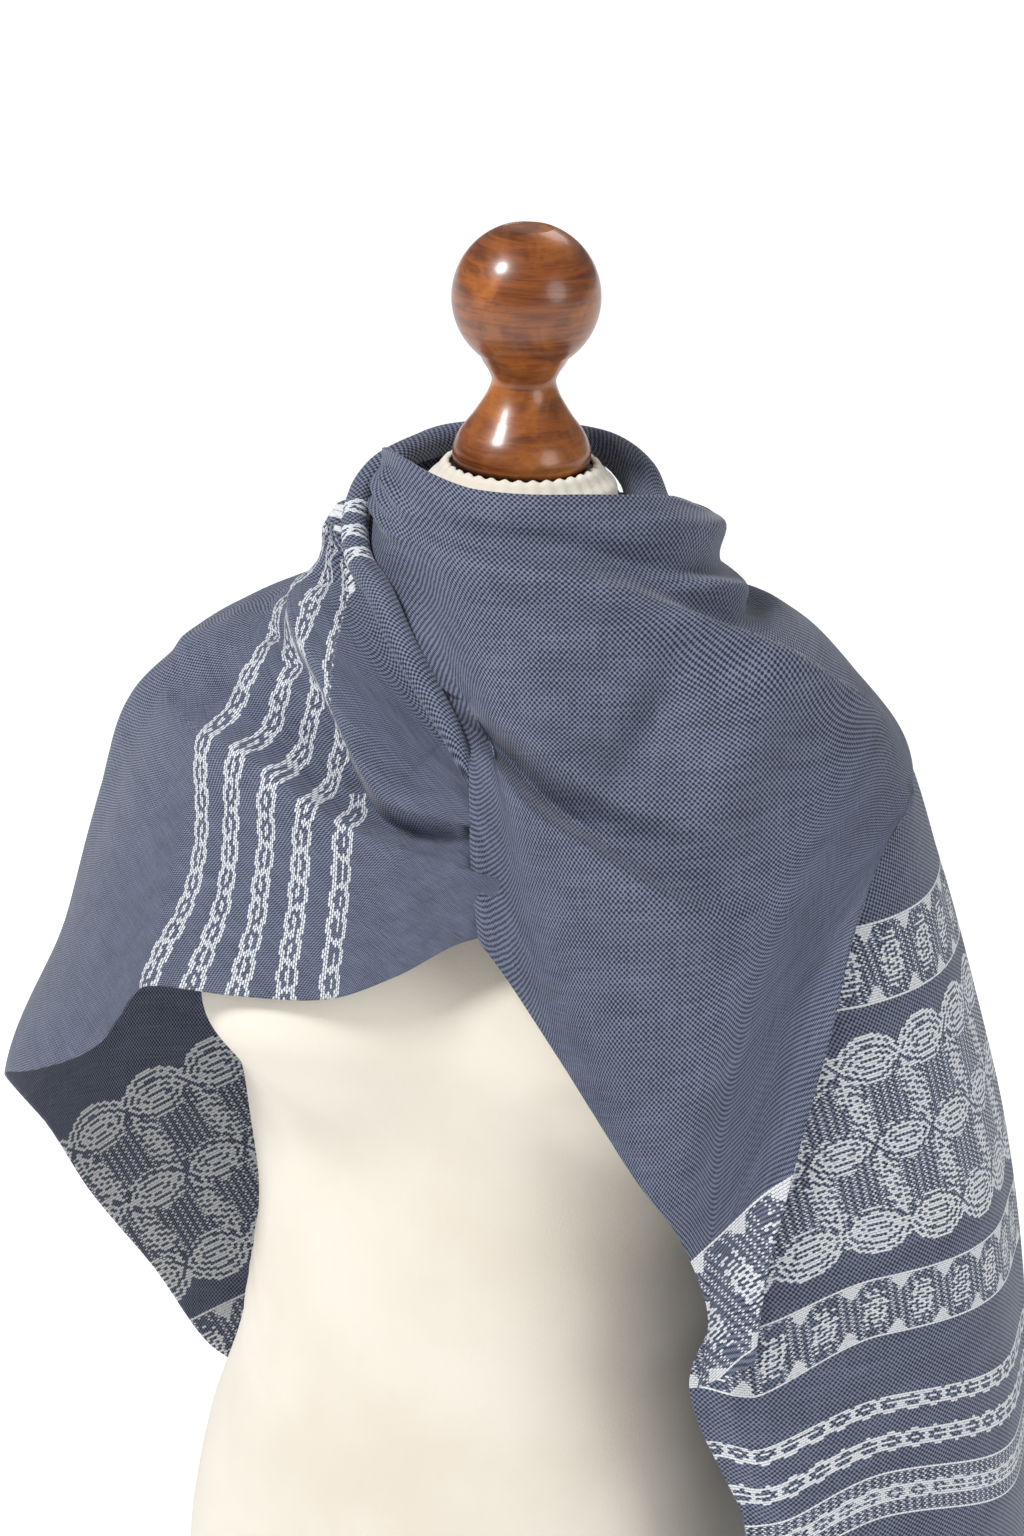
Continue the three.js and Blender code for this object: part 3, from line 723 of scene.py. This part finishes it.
def drape_cloth(ribs, folds, across, down):
    """Rows of points on the cloth's outer face, with their angles and heights."""
    shares = np.linspace(0, 1, down + 1)
    lines = []
    for at, path in ribs:
        path = np.array(path, float)
        step = np.hypot(np.radians(np.diff(path[:, 0])) * USUAL_RADIUS, np.diff(path[:, 1]))
        way = np.concatenate([[0], np.cumsum(step)])
        lines.append(smooth_through(way / way[-1], path, shares))
    places = [at for at, path in ribs]
    lines = np.array(lines).reshape(len(ribs), -1)
    spread = smooth_through(places, lines, np.linspace(0, 1, across + 1))
    spread = spread.reshape(across + 1, down + 1, 3).transpose(1, 0, 2)
    angle, z, lift = spread[..., 0], spread[..., 1], spread[..., 2]
    points = on_drape(angle, z)
    normals = surface_normal(on_drape, angle, z)
    rise = lift + CLOTH_LIFT
    for fold in folds.values():
        rise = rise + fold_rise(fold, on_drape, points, normals)
    return points + normals * rise[..., None], angle, z


def arc_lengths(points):
    """Length along the rows, and along the columns from the neck, in metres."""
    along = np.linalg.norm(np.diff(points, axis=1), axis=-1)
    down = np.linalg.norm(np.diff(points, axis=0), axis=-1)
    along = np.pad(np.cumsum(along, axis=1), ((0, 0), (1, 0)))
    down = np.pad(np.cumsum(down, axis=0), ((1, 0), (0, 0)))
    along = along - along[:, along.shape[1] // 2][:, None]
    return np.stack([along, down], axis=-1) * MM


def cloth_piece(name, points, angle, z, **maps):
    """The cloth as a thin shell, with the weave's map and the maps of its brocade."""
    piece = grid_piece(name, points, {"weave": arc_lengths(on_drape(angle, z)), **maps})
    apply_modifier(piece, "SOLIDIFY", thickness=CLOTH_THICKNESS * MM, offset=-1)
    return piece


def read_map(tree, name):
    """The two values of a UV map, in millimetres, and its socket."""
    node = tree.nodes.new("ShaderNodeUVMap")
    node.uv_map = name
    parts = tree.nodes.new("ShaderNodeSeparateXYZ")
    tree.links.new(node.outputs["UV"], parts.inputs[0])
    along, down = (Wire(tree, parts.outputs[k]) * 1000 for k in (0, 1))
    return along, down, node.outputs["UV"]


class Stitches:
    """The brocade's grid of short floats of white thread, each with one place in the motif.

    a runs along the floats and b across them, in millimetres. Each row of floats is shifted by
    half a float against the next. A motif is judged at a float's middle, so its edges step.
    """

    def __init__(self, a, b, length=2.6, pitch=1.3):
        row = (b / pitch).floor()
        shift = row * 0.5
        cell = (a / length + shift).floor()
        self.a = (cell - shift + 0.5) * length
        self.b = (row + 0.5) * pitch
        off_a = (a - self.a) / length
        off_b = (b - self.b) / pitch
        self.reach = (off_a * off_a * 1.15 + off_b * off_b * 1.5).root()
        self.odd = fraction(cell * 0.5 + row * 0.25) > 0.4

    def woven(self, motif, ground, float_size=WIDE_FLOAT):
        """White where the motif is, and small dots where only its ground is."""
        size = motif * float_size + ground * (1 - motif) * self.odd * GROUND_DOT
        return (size - self.reach).ramp(-0.02, 0.12)


def fraction(value):
    return value - value.floor()


def between(value, low, high):
    return (value > low) * (value < high)


# The flower band: three rows of lying petals, joined by upright ones that lean
FLOWER_PITCH = 42
FLOWER_ROW = 44
FLOWER_LEAN = 12
FLOWER_MARGIN = 18
FLOWER_ROWS = 3
FLOWER_HEIGHT = 2 * FLOWER_MARGIN + FLOWER_ROW * (FLOWER_ROWS - 1)
LYING_HALF = 8.6
UPRIGHT_HALF = 5.4
LINE_GAP = 3.4
PETAL_RIM = 0.5
PETAL_GAP = 1.2
ARC_REACH = 7.6
FRINGE = 3.4
FRINGE_TOOTH = 5.2
FRINGE_SHARE = 0.34
OUT_OF_REACH = 60


def petal_depth(share, off, half):
    """How far inside a pointed petal a place is, from its share along, -0.5 to 0.5, and its
    distance off the middle line."""
    return (1 - share * share * 4) * half - abs(off)


def flower_band(stitches, top):
    """Rows of pointed petals round four-petalled stars, with a dotted ground between them."""
    down = stitches.b - (top + FLOWER_MARGIN)
    rows_down = down / FLOWER_ROW
    row = (rows_down + 0.5).floor().most(0).least(FLOWER_ROWS - 1)
    inside_rows = between(rows_down, 0, FLOWER_ROWS - 1)
    outside = 1 - inside_rows
    lying_share = fraction((stitches.a - row * FLOWER_LEAN) / FLOWER_PITCH) - 0.5
    lying = petal_depth(lying_share, down - row * FLOWER_ROW, LYING_HALF)
    column = (stitches.a - rows_down * FLOWER_LEAN) / FLOWER_PITCH
    off_column = (column - (column + 0.5).floor()) * FLOWER_PITCH
    upright_share = fraction(rows_down) - 0.5
    upright = petal_depth(upright_share, off_column, UPRIGHT_HALF) - outside * OUT_OF_REACH
    depth = lying.most(upright)
    petals = (depth > PETAL_RIM) * (fraction((depth - PETAL_RIM) / LINE_GAP) < 0.66)
    arcs = outside * (lying < -PETAL_GAP) * (lying > -ARC_REACH)
    arcs = arcs * (fraction((lying + PETAL_GAP) / LINE_GAP) > 0.36)
    teeth = (fraction(stitches.b / FRINGE_TOOTH) + fraction(stitches.a / FRINGE_TOOTH)) * 1.2
    motif = petals.most(arcs)
    for petal, share in ((lying, lying_share), (upright, upright_share)):
        fringe = between(petal, teeth - FRINGE, -PETAL_GAP) * (abs(share) < FRINGE_SHARE)
        motif = motif.most(fringe * inside_rows)
    return motif, inside_rows * (depth < -PETAL_GAP)


LEAF_PITCH = 31
LEAF_SWELL = 35
LEAF_TOOTH = 4.4
LEAF_SKEW = 0.25
BORDER_LINE = 1.1
BORDER_TOOTH = 7.5


def leaf_band(stitches, top, height):
    """Upright serrated leaves with dark veins, on a dotted ground between toothed borders."""
    down = stitches.b - top
    inside = between(down, 0, height)
    share = down / height
    aside = abs(fraction(stitches.a / LEAF_PITCH + share * LEAF_SKEW) - 0.5) * LEAF_PITCH
    swell = share * (1 - share) * LEAF_SWELL
    tooth = fraction((down + aside * -0.8) / LEAF_TOOTH) * 3
    blade = (aside < swell - tooth) * (abs(aside - swell * 0.4) > 0.9) * (aside > 0.6)
    edge = down.least(height - down)
    border_tooth = (aside - LEAF_PITCH / 2 + BORDER_TOOTH).most(0) * 1.2
    border = edge < border_tooth + BORDER_LINE
    return blade.most(border) * inside, inside * (aside > swell)


CHAIN_LINK = 15
CHAIN_HALF = 2.6
CHAIN_SWING = 1.5
STRAND_HALF = 1.25


def chain(stitches, middle):
    """A cord of two wavy strands that meet round a dark lozenge in each link."""
    across = abs(stitches.b - middle)
    swing = abs((stitches.a * (math.pi / CHAIN_LINK)).sine())
    strands = abs(across - (swing * CHAIN_SWING + CHAIN_HALF)) < STRAND_HALF
    meeting = across < 2.2 - swing * 3.4
    core = (across < 0.7) * (swing > 0.82)
    return strands.most(meeting).most(core)


def cloth_material(name, brocade):
    """Slubbed plain weave, with white floats where brocade says."""
    material, tree, shader = new_material(name, CLOTH_BLUE, 0.78)
    along, down, weave = read_map(tree, "weave")
    wobble = noise(tree, weave, 160, 2) - 0.5
    beat = math.tau / WEAVE_PITCH
    dots = ((along + wobble * 0.9) * beat).sine() * ((down + wobble * 0.7) * beat).sine()
    weft_slub = noise(tree, stretched(tree, weave, (30, 900, 1)), 1, 3)
    warp_slub = noise(tree, stretched(tree, weave, (900, 30, 1)), 1, 3)
    cloudy = noise(tree, stretched(tree, weave, (22, 60, 1)), 1, 3)
    slubs = (weft_slub - 0.5) * 0.7 + (warp_slub - 0.5) * 0.5 + (cloudy - 0.5) * 0.4
    tone = dots * 0.85 + slubs + 0.48
    white = brocade(tree) * (noise(tree, weave, 420, 1).ramp(0.2, 0.5) * 0.35 + 0.65)
    cloth = mixed(tree, tone.ramp(0.0, 1.0), CLOTH_DARK, CLOTH_PALE)
    tree.links.new(mixed(tree, white, cloth, BROCADE_WHITE), shader.inputs["Base Color"])
    bumped(tree, shader, dots + white * 2, 0.00022, 0.6)
    set_inputs(shader, {"Sheen Weight": 0.2, "Sheen Roughness": 0.4})
    return material


# The chain stripes, each a route of (angle, z) from under the rolled edge to the hem. Behind
# STRIPES_FROM there are none, so their map is taken FAR_OFF pitches away there.
STRIPE_GAP = 20
STRIPES_FROM = 254
STRIPE_FLOAT = (2.8, 1.05)
FAR_OFF = 5
STRIPES = (
    ((-92, 730), (-88, 706), (-80, 691), (-63, 680), (-60, 667), (-60, 649), (-57, 628), (-55.5, 610),
     (-53.4, 593), (-51.2, 573), (-50.5, 554), (-51, 536), (-52.6, 519), (-54, 494)),
    ((-82, 724), (-74, 711), (-70, 697), (-62, 683), (-51.3, 672), (-50, 657), (-49.6, 641), (-48.6, 622),
     (-48, 603), (-46.4, 584), (-44.8, 569), (-44, 548), (-44.4, 532), (-45.8, 500)),
    ((-77, 719), (-69, 710), (-57, 697), (-49, 685), (-46, 672), (-41.8, 657), (-41.3, 642), (-40.3, 622),
     (-40, 605), (-39, 590), (-38, 566), (-37, 545), (-37.3, 524), (-37.5, 500)),
    ((-67, 714), (-60, 709), (-50.6, 703), (-41.6, 688), (-37, 674), (-34, 656), (-32.6, 636),
     (-31.6, 620), (-31.3, 605), (-31.5, 590), (-31, 574), (-30.2, 556), (-29.8, 536), (-28.4, 500)),
    ((-26, 620), (-23.5, 606), (-22.2, 588), (-22, 568), (-21.7, 549), (-21.3, 526), (-20.6, 500)),
)
# The flower band of the far end, on the hanging part behind: its start, slope and scale
BAND_START = (-101.4, 314)
BAND_SLOPE = math.radians(25)
BAND_RADIUS = 250
BAND_STRETCH = (0.86, 1.36)
FAR_LEAF_GAP = 9
FAR_LEAF_HEIGHT = 38


def stripe_map(angle, z):
    """Across the stripes, a whole pitch from one to the next, and the length along them."""
    points = on_drape(angle, z)
    normals = surface_normal(on_drape, angle, z)
    offsets, lengths = [], []
    for route in STRIPES:
        stops = [(*stop, 0) for stop in route]
        distance, side, length = measure_from(stops, on_drape, points, normals, 6)[:3]
        offsets.append(distance * np.sign(side))
        lengths.append(length - length.max())
    offsets, lengths = np.array(offsets), np.array(lengths)
    last = len(STRIPES) - 1
    across = np.where(offsets[0] < 0, offsets[0] / STRIPE_GAP, last + offsets[last] / STRIPE_GAP)
    along = np.where(offsets[0] < 0, lengths[0], lengths[last])
    for stripe in range(last):
        here = (offsets[stripe] >= 0) & (offsets[stripe + 1] < 0)
        share = offsets[stripe] / np.where(here, offsets[stripe] - offsets[stripe + 1], 1)
        across = np.where(here, stripe + share, across)
        along = np.where(here, lengths[stripe] * (1 - share) + lengths[stripe + 1] * share, along)
    hidden = (lengths[last] < lengths[last].min() + 1) & (across > last - 0.5)
    across = np.where(hidden, last + FAR_OFF, across)
    across = np.where(angle < STRIPES_FROM, -FAR_OFF, across)
    return np.stack([across * STRIPE_GAP, along], axis=-1) * MM


def far_band_map(angle, z):
    """Along and down the band that crosses the hanging part behind on a slant."""
    back = -np.radians((angle - 360) - BAND_START[0]) * BAND_RADIUS
    up = z - BAND_START[1]
    along = back * math.cos(BAND_SLOPE) + up * math.sin(BAND_SLOPE)
    down = back * math.sin(BAND_SLOPE) - up * math.cos(BAND_SLOPE)
    return np.stack([along / BAND_STRETCH[0], down / BAND_STRETCH[1]], axis=-1) * MM


def striped_brocade(tree):
    """Chain stripes in front, and behind the slanting flower band over a leaf band."""
    across, along = read_map(tree, "stripes")[:2]
    floats = Stitches(along, across, *STRIPE_FLOAT)
    nearest = (floats.b / STRIPE_GAP + 0.5).floor().most(0).least(len(STRIPES) - 1)
    stripes = chain(floats, nearest * STRIPE_GAP)
    stitches = Stitches(*read_map(tree, "band")[:2])
    flowers, ground = flower_band(stitches, 0)
    leaves, leaf_ground = leaf_band(stitches, FLOWER_HEIGHT + FAR_LEAF_GAP, FAR_LEAF_HEIGHT)
    band = stitches.woven(flowers.most(leaves), ground.most(leaf_ground))
    return floats.woven(stripes, stripes * 0, NARROW_FLOAT).most(band)


under_points, under_angle, under_z = drape_cloth(UNDER_RIBS, UNDER_FOLDS, 280, 150)
under_layer = cloth_piece(
    "striped_under_layer",
    under_points,
    under_angle,
    under_z,
    stripes=stripe_map(under_angle, under_z),
    band=far_band_map(under_angle, under_z),
)
striped_silk = cloth_material("striped_silk", striped_brocade)
finish_piece(under_layer, striped_silk, "silk_cloth", "right_front", "back_sheet")


# The tail.
# The end of the cloth that hangs at the form's left side, with its woven bands. It lies over
# the back, and its front edge turns in towards the form.
TAIL_RIBS = (
    (0, ((60, 590, 0), (52, 500, 0), (47, 410, 0), (45, 350, 0), (42, 305, 0), (43, 285, 0), (46, 255, 0),
        (49, 222, 0), (50, 150, 0), (51, 46, 0))),
    (0.16, ((74, 604, 0), (66, 46, 0))),
    (0.4, ((92, 626, 0.6), (88, 48, 0))),
    (0.58, ((103, 648, 3.2), (104, 52, 2.6))),
    (0.8, ((117, 678, 3.8), (125, 57, 3.4))),
    (1, ((128, 700, 3), (135, 590, 3.2), (140, 450, 3.4), (143, 290, 3.4), (144, 150, 3.4),
        (142, 62, 3.4))),
)
TAIL_FOLDS = {
    "tail edge": (16, 20, ((50, 380, 0), (46, 345, -6), (43, 305, -16), (46, 255, -16), (49, 222, -14),
        (51, 46, -12))),
    "hollow under the swag": (14, 14, ((78, 612, -2), (68, 570, -4), (60, 508, -5), (55, 444, -5),
        (50, 392, -3), (47, 360, 0))),
    "side fold": (30, 22, ((97, 560, 0), (99, 420, 4), (101, 250, 8), (102, 40, 12))),
    "back fold one": UNDER_FOLDS["back fold one"],
}

# Heights of the woven bands on the tail, by angle, and their places down the cloth
BAND_ANGLES = (50, 65, 88, 145)
BAND_LEVELS = (
    # down, z at each angle
    (0, 552, 557, 556, 556),
    (42, 507, 515, 514, 514),
    (52, 495, 503, 508, 508),
    (176, 355, 376, 372, 372),
    (186, 344, 365, 361, 361),
    (224, 303, 331, 325, 325),
    (266, 268, 291, 276, 276),
    (288, 240, 268, 252, 252),
    (306, 221, 250, 228, 228),
    (332, 195, 224, 200, 200),
)
LEAF_TOPS = (0, 186)
LEAF_HEIGHTS = (42, 38)
FLOWER_TOP = 52
CHAIN_MIDDLES = (266, 288, 319)
EDGE_BAND_TOP = 306
EDGE_BAND_HEIGHT = 26


def tail_band_map(points, angle, z):
    """Along the weft from the front edge, and down the cloth through the bands' levels."""
    levels = np.array(BAND_LEVELS, float)
    heights = smooth_through(BAND_ANGLES, levels[:, 1:].T, angle)
    down = np.minimum(heights[..., 0] - z, 0) + np.maximum(heights[..., -1] - z, 0)
    for k in range(len(levels) - 1):
        upper, lower = heights[..., k], heights[..., k + 1]
        down = down + (levels[k + 1, 0] - levels[k, 0]) * np.clip((upper - z) / (upper - lower), 0, 1)
    return np.stack([arc_lengths(points)[..., 0], down * MM], axis=-1)


def banded_brocade(tree):
    """The flower band between two leaf bands, two cords, and a bordered band with a third cord."""
    stitches = Stitches(*read_map(tree, "band")[:2])
    motif, ground = flower_band(stitches, FLOWER_TOP)
    inside = between(stitches.b, FLOWER_TOP, FLOWER_TOP + FLOWER_HEIGHT)
    motif, ground = motif * inside, ground * inside
    for top, height in zip(LEAF_TOPS, LEAF_HEIGHTS):
        leaves, leaf_ground = leaf_band(stitches, top, height)
        motif, ground = motif.most(leaves), ground.most(leaf_ground)
    off_middle = abs(stitches.b - (EDGE_BAND_TOP + EDGE_BAND_HEIGHT / 2))
    motif = motif.most(abs(off_middle - EDGE_BAND_HEIGHT / 2) < BORDER_LINE)
    ground = ground.most(between(stitches.b, EDGE_BAND_TOP, EDGE_BAND_TOP + EDGE_BAND_HEIGHT))
    for middle in CHAIN_MIDDLES:
        motif = motif.most(chain(stitches, middle))
    return stitches.woven(motif, ground)


tail_points, tail_angle, tail_z = drape_cloth(TAIL_RIBS, TAIL_FOLDS, 170, 200)
tail_bands = tail_band_map(tail_points, tail_angle, tail_z)
tail = cloth_piece("banded_tail", tail_points, tail_angle, tail_z, band=tail_bands)
finish_piece(tail, cloth_material("banded_silk", banded_brocade), "silk_cloth", "tail_sheet")


# The plain front.
# The upper layer: the cowl at the throat, the folds on the shoulder and the broad swag across
# the chest, drawn together into the pointed end. Only the point has brocade.
PLAIN_RIBS = (
    (0, ((-88, 776, 0.6), (-78, 751, 0.6), (-64, 734, 0.7), (-51, 720, 0.7), (-38, 705, 0.7),
        (-20, 680, 0.8), (-3, 656, 1.4), (1, 643, 2.8), (2.5, 628, 3.2), (4, 594, 3.4), (7, 554, 3.4))),
    (0.12, ((-56, 785, 2), (-34, 734, 2), (-10, 686, 2.4), (5, 650, 3), (9, 600, 3.4), (12, 538, 3.4))),
    (0.3, ((-8, 776, 3), (2, 700, 3), (12, 640, 3), (17, 570, 3), (22, 496, 3))),
    (0.5, ((32, 775, 4), (32, 690, 3), (30, 600, 3), (30, 510, 3), (33, 437, 3))),
    (0.7, ((78, 764, 5), (68, 700, 3), (58, 620, 3), (48, 540, 4), (43, 460, 4), (41, 392, 4))),
    (0.82, ((108, 742, 6), (94, 700, 4), (76, 640, 3), (60, 580, 4), (50, 510, 5), (46, 440, 5),
        (44, 350, 4))),
    (0.92, ((134, 737, 6), (118, 700, 7), (96, 655, 5), (76, 610, 3.4), (62, 560, 4), (54, 508, 5),
        (50, 444, 5), (47, 388, 5), (42.5, 312, 4))),
    (1, ((156, 734, 5), (140, 700, 6), (118, 655, 7), (102, 628, 6), (92, 612, 5), (79, 600, 4),
        (68, 568, 5), (59, 508, 6), (54, 444, 6), (51, 388, 6), (49.5, 326, 5))),
)
PLAIN_FOLDS = {
    "cowl ridge": (8, 9, ((40, 756, 0), (55, 754, 2), (69, 752, 4), (88, 742, 6), (112, 732, 6),
        (134, 728, 4), (150, 726, 0))),
    "cowl hollow": (8, 9, ((-40, 752, 0), (-20, 752, -3), (10, 751, -5), (38, 747, -6), (56, 737, -7),
        (70, 730, -5), (90, 728, -3), (110, 722, 0))),
    "shoulder cushion": (7, 9, ((46, 732, 0), (60, 727, 5), (74, 720, 9), (88, 712, 5), (98, 706, 1),
        (110, 702, 0), (142, 692, 0), (150, 688, 0))),
    "notch by the shoulder": (8, 7, ((78, 704, 0), (88, 701, -6), (98, 698, -12), (110, 696, -14),
        (122, 694, -8), (134, 692, 0))),
    "shoulder hollow": (12, 12, ((70, 742, 0), (82, 734, -5), (98, 722, -8), (112, 714, -7),
        (130, 708, 0))),
    "long shoulder ridge": (8, 19, ((-60, 741, 0), (-31, 741, 5), (7, 737, 11), (26, 733, 14),
        (43.5, 724, 17), (55, 712, 19), (64, 698, 20), (72, 683, 19), (78, 670, 16), (87, 652, 9),
        (97, 632, 0))),
    "pleat one": (3.2, 3.6, ((-88, 764, 0), (-76, 760, 5), (-62, 757, 5), (-48, 752, 3), (-36, 747, 0))),
    "pleat two": (3.2, 3.6, ((-84, 752, 0), (-72, 749, 5), (-58, 747, 5), (-44, 744, 3), (-30, 742, 0))),
    "pleat three": (3.4, 4, ((-70, 771, 0), (-60, 768, 5), (-50, 763, 5), (-40, 757, 3), (-28, 753, 0))),
    "bulge by the roll": (16, 20, ((-30, 706, 0), (-14, 694, 5), (2, 690, 8), (18, 690, 8), (32, 694, 4),
        (44, 698, 0))),
    "swag above the pinch": (26, 9, ((0, 668, 6), (8, 663, 15), (16, 653, 21), (23, 643, 24), (30, 633, 22),
        (38, 624, 14), (48, 616, 6), (58, 610, 0))),
    "ridge under the pinch": (6, 22, ((3, 648, 3), (7, 640, 9), (13, 627, 14), (19, 615, 16), (26, 606, 17),
        (33, 594, 17), (40, 581, 16), (47, 572, 13), (54, 570, 7), (62, 576, 0))),
    "pinch": (4.5, 4.5, ((1, 656, -2), (6, 650, -8), (12, 641, -9), (20, 626, -9), (27, 614, -5),
        (34, 604, 0))),
    "soft valley": (13, 13, ((29, 616, 0), (36, 636, -8), (45, 662, -10), (53, 684, -7), (58, 698, 0))),
    "broad ridge": (18, 20, ((42, 596, 0), (50, 620, 7), (58, 645, 9), (66, 668, 7), (72, 684, 0))),
    "hanging fold": (16, 18, ((60, 600, 0), (52, 540, 4), (42, 470, 5), (38, 420, 3), (37, 400, 0))),
    "edge fold": (14, 8, ((84, 602, 5), (70, 566, 13), (60, 508, 18), (55, 444, 17), (51, 388, 11),
        (49, 340, 4))),
    "front edge": (5, 5, ((1, 646, 0), (3.5, 622, 2.5), (5, 600, 3), (8, 556, 2))),
}

plain_points, plain_angle, plain_z = drape_cloth(PLAIN_RIBS, PLAIN_FOLDS, 210, 200)
# The leaf band at the point, from where its edge meets the front edge
POINT_BAND_START = (42, 386)
POINT_BAND_END = (53, 432)
POINT_BAND_HEIGHT = 60


def point_band_map(points):
    """Across the point, and down it from the band's edge."""
    start, end = (on_drape(*stop) for stop in (POINT_BAND_START, POINT_BAND_END))
    along = (end - start) / np.linalg.norm(end - start)
    outward = surface_normal(on_drape, *POINT_BAND_START)
    down = np.cross(along, outward)
    down /= np.linalg.norm(down)
    return np.stack([(points - start) @ along, (points - start) @ down], axis=-1) * MM


def point_brocade(tree):
    stitches = Stitches(*read_map(tree, "band")[:2])
    return stitches.woven(*leaf_band(stitches, 0, POINT_BAND_HEIGHT))


point_band = point_band_map(plain_points)
plain_front = cloth_piece("plain_front", plain_points, plain_angle, plain_z, band=point_band)
finish_piece(plain_front, cloth_material("plain_silk", point_brocade), "silk_cloth", "left_front")


# The rolled edge.
# The border of the cloth, rolled on itself into a rope that goes round behind the neck and
# down slantwise across the front, under the plain front's edge.
ROLL_SECTIONS = (
    # angle, z, lift, radius
    (84, 754, -18, 8),
    (104, 760, -18, 12),
    (125, 767, -11, 11),
    (155, 771, -5, 9),
    (190, 771, -4, 8.5),
    (225, 771, -5, 8.5),
    (245, 770, -6, 8),
    (258, 768, -3, 7.5),
    (268, 761, 5, 7.5),
    (276, 750, 10, 7.5),
    (285, 739, 11, 7.5),
    (296, 729, 10, 7.5),
    (306, 722, 9.6, 7.5),
    (318, 715, 10.2, 7.5),
    (330, 702, 10.2, 7.5),
    (341, 684, 9.6, 7),
    (349.5, 667, 9.6, 6.8),
    (355, 654, 9.4, 6),
    (359, 642, 8.6, 4.8),
    (361.5, 633, 7.2, 3.2),
    (362.5, 627, 5.4, 1.6),
)
ROLL_AROUND = 40
ROLL_ALONG = 360
# The chain stripes' ends lie from this section on, at these lengths along the roll
ROLL_MARKS_AT = 10
ROLL_MARKS = (0, 19, 38)


def rolled_brocade(tree):
    """The ends of the chain stripes, which show across the roll near the neck."""
    around, along = read_map(tree, "band")[:2]
    floats = Stitches(around, along, *STRIPE_FLOAT)
    marks = chain(floats, ROLL_MARKS[0])
    for middle in ROLL_MARKS[1:]:
        marks = marks.most(chain(floats, middle))
    return floats.woven(marks, marks * 0)


roll_at = np.linspace(0, len(ROLL_SECTIONS) - 1, ROLL_ALONG + 1)
roll_stops = smooth_through(np.arange(len(ROLL_SECTIONS)), ROLL_SECTIONS, roll_at)
roll_angle, roll_z = roll_stops[:, 0], roll_stops[:, 1]
roll_normal = surface_normal(on_drape, roll_angle, roll_z)
roll_centre = on_drape(roll_angle, roll_z) + roll_normal * roll_stops[:, 2:3]
roll_radius = roll_stops[:, 3:]
roll_along = np.gradient(roll_centre, axis=0)
roll_along /= np.linalg.norm(roll_along, axis=-1, keepdims=True)
roll_side = np.cross(roll_along, roll_normal)
roll_side /= np.linalg.norm(roll_side, axis=-1, keepdims=True)
roll_up = np.cross(roll_along, roll_side)
roll_turn = np.linspace(0, math.tau, ROLL_AROUND + 1)[:, None, None]
roll_points = roll_centre + roll_radius * (roll_side * np.cos(roll_turn) + roll_up * np.sin(roll_turn))
# Each end closes in two smaller rings, the last one a point
end_share = np.array([0.0, 0.6])[:, None]
start_cap = roll_centre[0] + (roll_points[:, :1] - roll_centre[0]) * end_share
end_cap = roll_centre[-1] + (roll_points[:, -1:] - roll_centre[-1]) * end_share[::-1]
roll_points = np.concatenate([start_cap, roll_points, end_cap], axis=1)
roll_lengths = arc_lengths(roll_points)
first_mark = np.argmin(np.abs(roll_at - ROLL_MARKS_AT)) + len(end_share)
from_mark = roll_lengths[..., 0] - roll_lengths[:, first_mark:first_mark + 1, 0]
roll_maps = {"weave": roll_lengths, "band": np.stack([roll_lengths[..., 1], from_mark], axis=-1)}
rolled_edge = grid_piece("rolled_edge", roll_points, roll_maps)
select_mesh()
bpy.ops.mesh.remove_doubles(threshold=SAME_PLACE)
face_outwards()
finish_piece(rolled_edge, cloth_material("rolled_silk", rolled_brocade), "silk_cloth", "rolled_edge")
